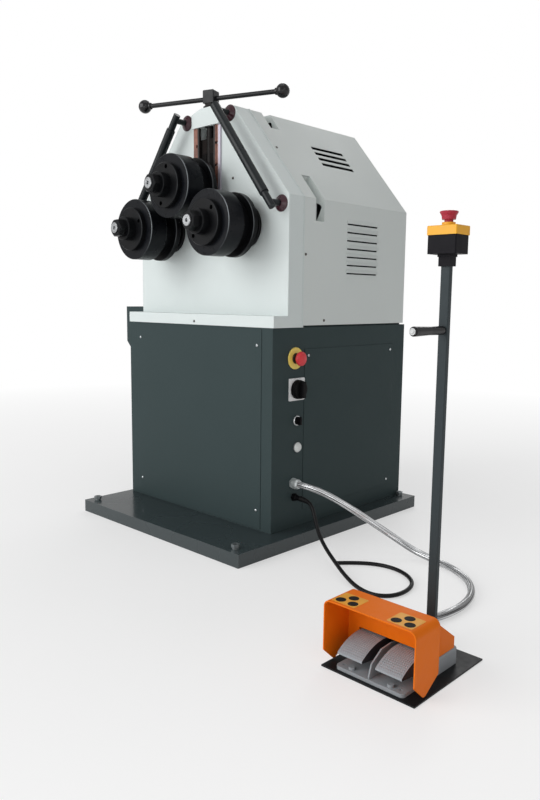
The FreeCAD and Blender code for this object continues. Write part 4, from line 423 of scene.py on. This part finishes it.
class Paint:
    """A material with a Principled surface, and short calls for the nodes that shape it."""

    def __init__(self, name, color, roughness, metallic=0.0, **sockets):
        self.material = bpy.data.materials.new(name)
        self.material.use_nodes = True
        self.material.diffuse_color = (*color, 1)
        self.nodes = self.material.node_tree.nodes
        self.links = self.material.node_tree.links
        self.surface = self.nodes["Principled BSDF"]
        self.color = color
        self.put("Base Color", (*color, 1))
        self.put("Roughness", roughness)
        self.put("Metallic", metallic)
        for socket, value in sockets.items():
            self.put(socket.replace("_", " "), value)
        self.place = self.nodes.new("ShaderNodeTexCoord").outputs["Object"]

    def feed(self, socket, value):
        """Link another node's output to a socket, or set the socket's own value."""
        if isinstance(value, bpy.types.NodeSocket):
            self.links.new(value, socket)
        else:
            socket.default_value = value

    def put(self, socket, value):
        """Feed one socket of the surface."""
        self.feed(self.surface.inputs[socket], value)

    def math(self, kind, a, b=0.0, c=0.0):
        """One Math node."""
        node = self.nodes.new("ShaderNodeMath")
        node.operation = kind
        for socket, value in zip(node.inputs, (a, b, c)):
            self.feed(socket, value)
        return node.outputs[0]

    def times(self, a, b):
        """One value times another."""
        return self.math("MULTIPLY", a, b)

    def minus(self, a, b):
        """One value less another."""
        return self.math("SUBTRACT", a, b)

    def over(self, value, limit):
        """1 where a value is above a limit, 0 elsewhere."""
        return self.math("GREATER_THAN", value, limit)

    def under(self, value, limit):
        """1 where a value is below a limit, 0 elsewhere."""
        return self.math("LESS_THAN", value, limit)

    def magnitude(self, value):
        """A value without its sign."""
        return self.math("ABSOLUTE", value)

    def span(self, value, low, high, out_low=0.0, out_high=1.0):
        """Map a range to another, held at its ends."""
        node = self.nodes.new("ShaderNodeMapRange")
        self.links.new(value, node.inputs["Value"])
        for socket, number in zip(("From Min", "From Max", "To Min", "To Max"),
                                  (low, high, out_low, out_high)):
            node.inputs[socket].default_value = number
        return node.outputs["Result"]

    def noise(self, scale, detail=2.0, stretch=None, place=None):
        """Noise at so many cells a metre, stretched along an axis or in another space if given."""
        place = place or self.place
        if stretch:
            squeeze = self.nodes.new("ShaderNodeMapping")
            squeeze.inputs["Scale"].default_value = stretch
            self.links.new(place, squeeze.inputs["Vector"])
            place = squeeze.outputs[0]
        node = self.nodes.new("ShaderNodeTexNoise")
        node.inputs["Scale"].default_value = scale
        node.inputs["Detail"].default_value = detail
        self.links.new(place, node.inputs["Vector"])
        return node.outputs["Fac"]

    def split(self, vector=None):
        """The x, y and z of the place, or of another vector."""
        node = self.nodes.new("ShaderNodeSeparateXYZ")
        self.links.new(vector or self.place, node.inputs[0])
        return node.outputs[0], node.outputs[1], node.outputs[2]

    def facing(self):
        """The x, y and z of the face's own normal."""
        return self.split(self.nodes.new("ShaderNodeNewGeometry").outputs["True Normal"])

    def reach(self, first, second, centre):
        """Distance from a line, in the plane of two coordinates."""
        da = self.minus(first, centre[0])
        db = self.minus(second, centre[1])
        return self.math("SQRT", self.math("ADD", self.times(da, da), self.times(db, db)))

    def mix(self, factor, a, b):
        """A colour between two colours."""
        node = self.nodes.new("ShaderNodeMix")
        node.data_type = "RGBA"
        self.links.new(factor, node.inputs["Factor"])
        for socket, value in ((node.inputs[6], a), (node.inputs[7], b)):
            self.feed(socket, (*value, 1) if isinstance(value, tuple) else value)
        return node.outputs[2]

    def two_tone(self, other, mask):
        """Give the surface another colour where the mask is 1."""
        links = self.surface.inputs["Base Color"].links
        self.put("Base Color", self.mix(mask, links[0].from_socket, other))

    def drift(self, amount, scale):
        """The colour, drifting lighter and darker in soft patches."""
        dark = tuple(c * (1 - amount) for c in self.color)
        light = tuple(min(1.0, c * (1 + amount)) for c in self.color)
        return self.mix(self.span(self.noise(scale, 3.0), 0.3, 0.7), dark, light)

    def bevel(self, radius):
        """The normal, as if every edge were rounded by a small radius."""
        node = self.nodes.new("ShaderNodeBevel")
        node.samples = EDGE_SAMPLES
        node.inputs["Radius"].default_value = radius
        return node.outputs[0]

    def edges(self, radius):
        """1 on edges sharper than a small radius, 0 on flats."""
        flat = self.nodes.new("ShaderNodeNewGeometry")
        dot = self.nodes.new("ShaderNodeVectorMath")
        dot.operation = "DOT_PRODUCT"
        self.links.new(self.bevel(radius), dot.inputs[0])
        self.links.new(flat.outputs["Normal"], dot.inputs[1])
        return self.span(dot.outputs["Value"], 0.985, 0.85)

    def relief(self, height, distance, strength, rounded):
        """Bump from a height, over edges rounded by a small radius."""
        bump = self.nodes.new("ShaderNodeBump")
        bump.inputs["Distance"].default_value = distance
        bump.inputs["Strength"].default_value = strength
        self.links.new(height, bump.inputs["Height"])
        self.links.new(self.bevel(rounded), bump.inputs["Normal"])
        self.put("Normal", bump.outputs[0])


def painted(name, color, roughness, peel=0.00006, specular=0.4, drift=0.03):
    """Sprayed enamel: slight orange peel, soft drift, faint smudges, and a painted highlight in
    patches along the edges.
    """
    p = Paint(name, color, roughness, Specular_IOR_Level=specular)
    # painted highlight: edges a little lighter, in patches, as if they caught the light
    highlight_tone = tuple(c + (1 - c) * 0.12 for c in color)
    highlight_patches = p.span(p.noise(EDGE_HIGHLIGHT_PATCHES, 3.0), 0.45, 0.65, 0.2, 1.0)
    painted_highlight = p.times(p.times(p.edges(PAINT_EDGE), highlight_patches), 0.25)
    p.put("Base Color", p.mix(painted_highlight, p.drift(drift, PAINT_CLOUDS), highlight_tone))
    broad, fine = PAINT_SMUDGES
    smudge = p.math("ADD", p.noise(broad, 4.0), p.noise(fine, 2.0))
    p.put("Roughness", p.span(smudge, 0.7, 1.3, roughness - 0.05, roughness + 0.08))
    p.relief(p.noise(PAINT_PEEL, 1.0), peel, 0.2, PAINT_EDGE)
    return p


def moulded(name, color, roughness, depth=0.00003, specular=0.4):
    """Plastic with a fine mould grain."""
    p = Paint(name, color, roughness, Specular_IOR_Level=specular)
    p.put("Base Color", p.drift(0.06, PLASTIC_CLOUDS))
    smudge = p.noise(PLASTIC_SMUDGES, 3.0)
    p.put("Roughness", p.span(smudge, 0.3, 0.7, roughness - 0.04, roughness + 0.06))
    p.relief(p.noise(PLASTIC_GRAIN, 1.0), depth, 0.3, PLASTIC_EDGE)
    return p


def steel(name, color, roughness, stretch=None, marks=STEEL_MARKS, metallic=1.0):
    """Machined steel with fine tool marks, which run along the squeezed axis."""
    p = Paint(name, color, roughness, metallic)
    p.put("Base Color", p.drift(0.12, STEEL_CLOUDS))
    lines = p.noise(marks, 2.0, stretch)
    p.put("Roughness", p.span(lines, 0.3, 0.7, roughness - 0.08, roughness + 0.12))
    p.relief(lines, STEEL_MARK_DEPTH, 0.6, STEEL_EDGE)
    return p


def oxide(name, axis, color, roughness, glint_strength):
    """Turned and blackened steel: tool rings round its axis, and a painted highlight on the chamfers,
    right of and above the axis.
    """
    p = Paint(name, color, roughness, Specular_IOR_Level=0.12)
    x, y, z = p.split()
    _, lean, _ = p.facing()
    slant = p.magnitude(p.minus(p.magnitude(lean), CHAMFER_LEAN))
    # painted highlight: chamfers lighter on the right and upper side, where they face the light
    right = p.span(x, axis[0] + GLINT_SIDE[0], axis[0] + GLINT_SIDE[1], 0.1, 1.0)
    glint_upper = p.span(z, axis[1] + GLINT_UP[0], axis[1] + GLINT_UP[1], 0.3, 1.0)
    glint_patches = p.span(p.noise(OXIDE_GLINTS, 3.0), 0.35, 0.6, 0.6, 1.0)
    chamfer_glint = p.times(p.under(slant, CHAMFER_SPREAD), p.times(p.times(right, glint_upper), glint_patches))
    tone = p.drift(0.15, OXIDE_CLOUDS)
    p.put("Base Color", p.mix(p.times(chamfer_glint, glint_strength), tone, rgb(160, 166, 170)))
    smudge = p.noise(OXIDE_SMUDGES, 4.0)
    p.put("Roughness", p.span(smudge, 0.3, 0.7, roughness - 0.06, roughness + 0.1))
    rings = p.math("SINE", p.times(p.reach(x, z, axis), math.tau / RING_PITCH))
    bands = p.math("SINE", p.times(y, math.tau / RING_PITCH))
    p.relief(p.math("ADD", rings, bands), RING_DEPTH, 0.5, STEEL_EDGE)
    return p


def base_paint():
    """Floor base in smooth gloss enamel, with a painted highlight in patches along its edges."""
    p = Paint("base_enamel", rgb(51, 60, 62), 0.26, Specular_IOR_Level=0.3,
              Coat_Weight=0.3, Coat_Roughness=0.1)
    # painted highlight: edges lighter, in patches
    painted_highlight = p.times(p.edges(BASE_EDGE), p.span(p.noise(EDGE_HIGHLIGHT_PATCHES, 3.0), 0.4, 0.6, 0.3, 0.8))
    p.put("Base Color", p.mix(painted_highlight, p.drift(0.04, PAINT_CLOUDS), rgb(112, 118, 120)))
    p.put("Roughness", p.span(p.noise(5.0, 3.0), 0.3, 0.7, 0.22, 0.32))
    return p


def pedestal_paint():
    """Column in grey enamel, and its floor plate nearly black."""
    p = painted("column_enamel", rgb(52, 60, 63), 0.42, specular=0.16)
    _, _, z = p.split()
    p.two_tone(rgb(24, 26, 28), p.under(z, FLOOR_PLATE_TOP + PLATE_MARGIN))
    return p


def rail_bronze():
    """Guide rails: oiled bronze, with painted shade on the step beside the slot, pale on the right
    rail's outer strip.
    """
    p = steel("rail_bronze", rgb(140, 96, 82), 0.46, ALONG_Z, metallic=0.3)
    x, _, _ = p.split()
    stain = p.span(p.noise(RAIL_STAINS, 4.0), 0.42, 0.62)
    p.two_tone(rgb(84, 58, 52), p.times(stain, 0.55))
    # painted shade on the rails' inner step, beside the slot
    p.two_tone(rgb(34, 27, 26), p.under(p.magnitude(p.minus(x, MACHINE_X)), RAIL_SHADE))
    p.two_tone(rgb(196, 190, 202), p.over(x, MACHINE_X + RAIL_PALE))
    return p


def screw_steel():
    """Panel screws: bright zinc on the dark cabinet, blackened on the pale frame."""
    p = steel("panel_screw_steel", rgb(205, 208, 210), 0.3, marks=ZINC_MARKS, metallic=0.8)
    _, _, z = p.split()
    p.two_tone(rgb(92, 88, 84), p.over(z, CABINET_TOP))
    return p


def estop_ring_plastic():
    """Yellow ring with the dark collar of the button's contact block."""
    p = moulded("estop_ring_yellow", rgb(250, 222, 112), 0.34)
    low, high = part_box("estop_ring")
    _, y, z = p.split()
    away = p.reach(y, z, ((low[1] + high[1]) / 2, (low[2] + high[2]) / 2))
    p.two_tone(rgb(24, 22, 23), p.under(away, STOP_COLLAR_R))
    return p


def lamp_glass():
    """Pilot lamp: milky lens in a plated bezel."""
    p = moulded("lamp_lens", rgb(224, 228, 226), 0.2)
    x, _, _ = p.split()
    p.two_tone(rgb(120, 124, 126), p.under(x, RIGHT_FACE + LAMP_BEZEL))
    return p


def grip_plastic():
    """Black grip with a zinc bolt head in its end."""
    p = moulded("grip_plastic", rgb(22, 22, 24), 0.3, specular=0.3)
    _, y, _ = p.split()
    p.two_tone(rgb(206, 208, 208), p.under(y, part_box("column_grip")[0][1] + GRIP_BOLT))
    return p


def pedal_plastic():
    """Pedals: grey, and nearly black on the faces that lean to the side."""
    p = moulded("pedal_body", rgb(152, 157, 162), 0.5, specular=0.2)
    lean, _, _ = p.facing()
    p.two_tone(rgb(46, 44, 46), p.over(p.magnitude(lean), FLANK_LEAN))
    return p


def conduit_steel():
    """Steel conduit in a clear sleeve, with painted reflections: bright and dark streaks along its
    length.
    """
    p = Paint("conduit_steel", rgb(188, 190, 192), 0.2, 0.35, Coat_Weight=0.6, Coat_Roughness=0.06)
    unrolled = p.nodes.new("ShaderNodeTexCoord").outputs["UV"]
    # painted reflections: light and dark streaks along the hose
    painted_reflections = p.span(p.noise(1.0, 3.0, CONDUIT_REFLECTIONS, unrolled), 0.42, 0.58)
    p.put("Base Color", p.mix(painted_reflections, rgb(40, 40, 42), rgb(236, 238, 240)))
    return p


def hood_paint():
    """Hood enamel, with painted shade on its inside behind the slots and louvres."""
    p = painted("grey_white_enamel", rgb(215, 221, 219), 0.48, specular=0.3, drift=0.015)
    x, y, z = p.split()
    out = p.magnitude(p.minus(x, MACHINE_X))
    wall = p.minus(HOOD_SHOULDER.x, out)
    run = HOOD_SHOULDER - HOOD_RIDGE
    normal = Vector((-run.y, run.x)).normalized()
    slope = p.math("ADD", p.times(out, normal.x), p.times(z, normal.y))
    roof = p.math("MINIMUM", p.minus(normal.dot(HOOD_SHOULDER), slope), p.minus(HOOD_RIDGE.y, z))
    in_shade = p.over(p.math("MINIMUM", wall, roof), HOOD_SKIN)
    between = p.math("COMPARE", y, (SHADE_FRONT + SHADE_BACK) / 2, (SHADE_BACK - SHADE_FRONT) / 2)
    # painted shade: the hood's inside, seen through the slots and louvres
    p.two_tone(rgb(22, 24, 25), p.times(in_shade, between))
    return p


GROUND_STEEL = (0.42, 0.43, 0.44)
POLISHED_STEEL = (0.55, 0.56, 0.57)

palette = {
    "cabinet": painted("cabinet_enamel", rgb(58, 70, 71), 0.45, specular=0.07),
    "base": base_paint(),
    "white": painted("white_enamel", rgb(216, 224, 223), 0.4, specular=0.3, drift=0.012),
    "hood": hood_paint(),
    "orange": painted("orange_enamel", rgb(232, 114, 14), 0.42, specular=0.1),
    "maroon": painted("maroon_enamel", rgb(58, 20, 32), 0.26, specular=0.5),
    "gearbox": painted("gearbox_enamel", rgb(86, 98, 112), 0.5, peel=0.0003),
    "bar_black": painted("bar_black_enamel", rgb(24, 29, 31), 0.3, specular=0.24),
    "pedestal": pedestal_paint(),
    "bare_steel": steel("bare_steel", GROUND_STEEL, 0.34, ALONG_Y),
    "bright_steel": steel("bright_steel", POLISHED_STEEL, 0.22, ALONG_Y),
    "zinc": steel("zinc_plate", rgb(206, 212, 212), 0.36, marks=ZINC_MARKS, metallic=0.45),
    "jack_zinc": steel("jack_zinc", rgb(132, 138, 140), 0.42, marks=ZINC_MARKS, metallic=0.8),
    "screws": screw_steel(),
    "rails": rail_bronze(),
    # nut, carriage and screw in the slot: dark oiled metal, darkened further as painted shade of the
    # slot
    "nut_bronze": painted("nut_bronze_oiled", rgb(22, 15, 13), 0.5, specular=0.08),
    "slide": painted("slide_iron", rgb(13, 10, 10), 0.5, specular=0.06),
    "spindle": painted("spindle_oiled", rgb(23, 20, 20), 0.4, specular=0.12),
    "bearing_black": painted("bearing_black", rgb(20, 21, 23), 0.4, specular=0.15),
    "handle": painted("handle_black", rgb(27, 28, 30), 0.32, peel=0.00003, specular=0.24),
    "gloss_black": moulded("gloss_black_knob", rgb(14, 14, 16), 0.12, depth=0.000005),
    "red": moulded("red_plastic", rgb(216, 54, 62), 0.3),
    "stop_red": moulded("pedestal_button_red", rgb(168, 46, 64), 0.32, specular=0.25),
    "yellow": moulded("yellow_plastic", rgb(238, 172, 34), 0.36),
    "ring_yellow": estop_ring_plastic(),
    "mark_yellow": moulded("mark_ochre_vinyl", rgb(228, 158, 36), 0.42, depth=0.00001),
    "mark_black": moulded("mark_black_vinyl", rgb(16, 11, 10), 0.5, depth=0.00001, specular=0.1),
    "light_grey": moulded("light_grey_plastic", rgb(240, 241, 242), 0.4),
    "black_plastic": moulded("black_plastic", rgb(14, 14, 16), 0.42, specular=0.08),
    "box_black": moulded("box_black_plastic", rgb(24, 23, 27), 0.46, specular=0.08),
    "grip": grip_plastic(),
    "lens": lamp_glass(),
    "rubber": moulded("cable_rubber", rgb(12, 12, 13), 0.4, specular=0.2),
    "pedals": pedal_plastic(),
    "pedal_grey": moulded("pedal_grey", rgb(152, 157, 162), 0.5, specular=0.2),
    "foot_grey": moulded("foot_grey", rgb(148, 152, 156), 0.5, specular=0.2),
    "control_gear": moulded("control_gear", rgb(190, 192, 190), 0.5),
    "conduit": conduit_steel(),
}
for side, axis in ROLL_AXES.items():
    # the last figure is the strength of the painted highlight on the roll's chamfers
    for part, color, roughness, glint_strength in (("front_roll", rgb(17, 19, 23), 0.3, 0.8),
                                        ("rear_roll", rgb(15, 16, 18), 0.32, 0.4),
                                        ("clamp", rgb(16, 17, 19), 0.32, 0.2)):
        name = f"{side}_{part}"
        palette[name] = oxide(name + "_oxide", axis, color, roughness, glint_strength)
    palette[side + "_shaft"] = steel(side + "_shaft_steel", GROUND_STEEL, 0.28, ALONG_Y)

FINISH = {
    "cabinet": ["cabinet_shell", "front_panel", "side_panel", "tool_tray"],
    "base": ["base_plate"],
    "pedestal": ["pedestal"],
    "zinc": ["conduit_gland"],
    "jack_zinc": ["levelling_screws"],
    "screws": ["panel_screws"],
    "control_gear": ["contactor_panel"],
    "white": ["front_casing", "front_plate", "cap_block"],
    "hood": ["hood"],
    "bare_steel": ["rear_plate", "tie_bars", "right_gear", "left_gear", "drive_pinion"],
    "bearing_black": ["bearing_units"],
    "slide": ["carriage"],
    "spindle": ["adjusting_screw"],
    "rails": ["guide_rails"],
    "nut_bronze": ["carriage_nut"],
    "gearbox": ["gearmotor"],
    "bar_black": ["guard_bars"],
    "maroon": ["guard_bar_rosettes"],
    "ring_yellow": ["estop_ring"],
    "yellow": ["estop_box_lid"],
    "light_grey": ["switch_plate"],
    "bright_steel": ["selector_bezel"],
    "lens": ["pilot_lamp"],
    "black_plastic": ["lead_gland", "switch_knob", "selector_knob"],
    "box_black": ["estop_box"],
    "grip": ["column_grip"],
    "pedals": ["left_pedal", "right_pedal"],
    "foot_grey": ["foot_base"],
    "orange": ["pedal_guard"],
    "handle": ["handle_hub", "handle_bar"],
    "gloss_black": ["ball_knobs"],
    "red": ["estop_button"],
    "stop_red": ["pedestal_button"],
}
for side in ROLL_AXES:
    FINISH[side + "_front_roll"] = [side + "_front_roll"]
    FINISH[side + "_rear_roll"] = [side + "_rear_roll"]
    FINISH[side + "_clamp"] = [side + "_roll_clamp"]
    FINISH[side + "_shaft"] = [side + "_shaft"]


def wear(obj, key):
    """Put one material in every slot of an object."""
    material = palette[key].material
    if not obj.material_slots:
        obj.data.materials.append(material)
    for place in obj.material_slots:
        place.material = material


for key, names in FINISH.items():
    for name in names:
        wear(frame["nodes"][name], key)
for piece, key in ((hose, "conduit"), (lead, "rubber"), (boot, "rubber"),
                   (mark_ground, "mark_yellow"), (mark_discs, "mark_black"),
                   (treads[0], "pedal_grey"), (treads[1], "pedal_grey")):
    wear(piece, key)

# ---- Studio ----------------------------------------------------------------------------------

WORLD_LEVEL = 0.35        # the world's strength as light, and in glossy reflections
WORLD_IN_GLOSS = 0.6
FLOOR_HALF = 40.0
FLOOR_DROP = 0.0005       # keeps the floor clear of faces that lie on it
FADE = (0.8, 3.6)         # the floor fades to white between these distances
FADE_START = 0.45
WHITE = (1, 1, 1, 1)

SOFTBOXES = (             # name, place, aim, side, watts
    ("key", (-1.3, -3.9, 2.2), (0, -0.1, 0.7), 3.4, 118),
    ("fill", (3.4, -1.6, 2.2), (0.2, 0, 0.6), 2.0, 9),
    ("low", (1.5, -2.2, 0.7), (0.93, -0.5, 0.08), 0.9, 4.5),
    ("top", (0.4, -0.4, 4.0), (0, 0, 0.5), 2.0, 9),
    ("back", (-1.5, 3.2, 3.2), (0, 0, 0.7), 2.4, 45),
)


def make_floor():
    """A wide pale floor that fades to white in the distance."""
    mesh = bpy.data.meshes.new("floor")
    corners = [(x * FLOOR_HALF, y * FLOOR_HALF, 0) for x, y in ((-1, -1), (1, -1), (1, 1), (-1, 1))]
    mesh.from_pydata(corners, [], [(0, 1, 2, 3)])
    floor = bpy.data.objects.new("floor", mesh)
    floor.location.z = -FLOOR_DROP
    bpy.context.scene.collection.objects.link(floor)
    p = Paint("studio_floor", (0.92, 0.92, 0.92), 0.6)
    p.put("Base Color", p.mix(p.noise(3.0), (0.91, 0.91, 0.91), (0.93, 0.93, 0.93)))
    away = p.nodes.new("ShaderNodeVectorMath")
    away.operation = "LENGTH"
    p.links.new(p.place, away.inputs[0])
    glow = p.nodes.new("ShaderNodeEmission")
    glow.inputs["Color"].default_value = WHITE
    ray = p.nodes.new("ShaderNodeLightPath")
    seen = p.math("MAXIMUM", ray.outputs["Is Camera Ray"], ray.outputs["Is Glossy Ray"])
    far = p.times(p.span(away.outputs["Value"], *FADE, FADE_START), seen)
    blend = p.nodes.new("ShaderNodeMixShader")
    p.links.new(far, blend.inputs[0])
    p.links.new(p.surface.outputs[0], blend.inputs[1])
    p.links.new(glow.outputs[0], blend.inputs[2])
    p.links.new(blend.outputs[0], p.nodes["Material Output"].inputs["Surface"])
    mesh.materials.append(p.material)


def make_world():
    """White to the camera, nearly white in reflections, and a softer level as light."""
    world = bpy.data.worlds.new("studio")
    world.use_nodes = True
    tree = world.node_tree
    base = tree.nodes["Background"]
    ray = tree.nodes.new("ShaderNodeLightPath")
    seen = tree.nodes.new("ShaderNodeMath")
    seen.operation = "MAXIMUM"
    gloss = tree.nodes.new("ShaderNodeMath")
    gloss.operation = "MULTIPLY"
    gloss.inputs[1].default_value = (WORLD_IN_GLOSS - WORLD_LEVEL) / (1 - WORLD_LEVEL)
    tree.links.new(ray.outputs["Is Glossy Ray"], gloss.inputs[0])
    tree.links.new(ray.outputs["Is Camera Ray"], seen.inputs[0])
    tree.links.new(gloss.outputs[0], seen.inputs[1])
    level = tree.nodes.new("ShaderNodeMapRange")
    level.inputs["To Min"].default_value = WORLD_LEVEL
    level.inputs["To Max"].default_value = 1.0
    tree.links.new(seen.outputs[0], level.inputs["Value"])
    base.inputs["Color"].default_value = WHITE
    tree.links.new(level.outputs["Result"], base.inputs["Strength"])
    bpy.context.scene.world = world


def make_softbox(name, place, aim, side, watts):
    """A square area lamp that looks at a point."""
    data = bpy.data.lights.new(name, "AREA")
    data.shape = "SQUARE"
    data.size = side
    data.energy = watts
    lamp = bpy.data.objects.new(name, data)
    lamp.location = place
    lamp.rotation_euler = (Vector(aim) - Vector(place)).to_track_quat("-Z", "Y").to_euler()
    bpy.context.scene.collection.objects.link(lamp)


make_floor()
make_world()
for softbox in SOFTBOXES:
    make_softbox(*softbox)
bpy.context.scene.view_settings.view_transform = "Standard"
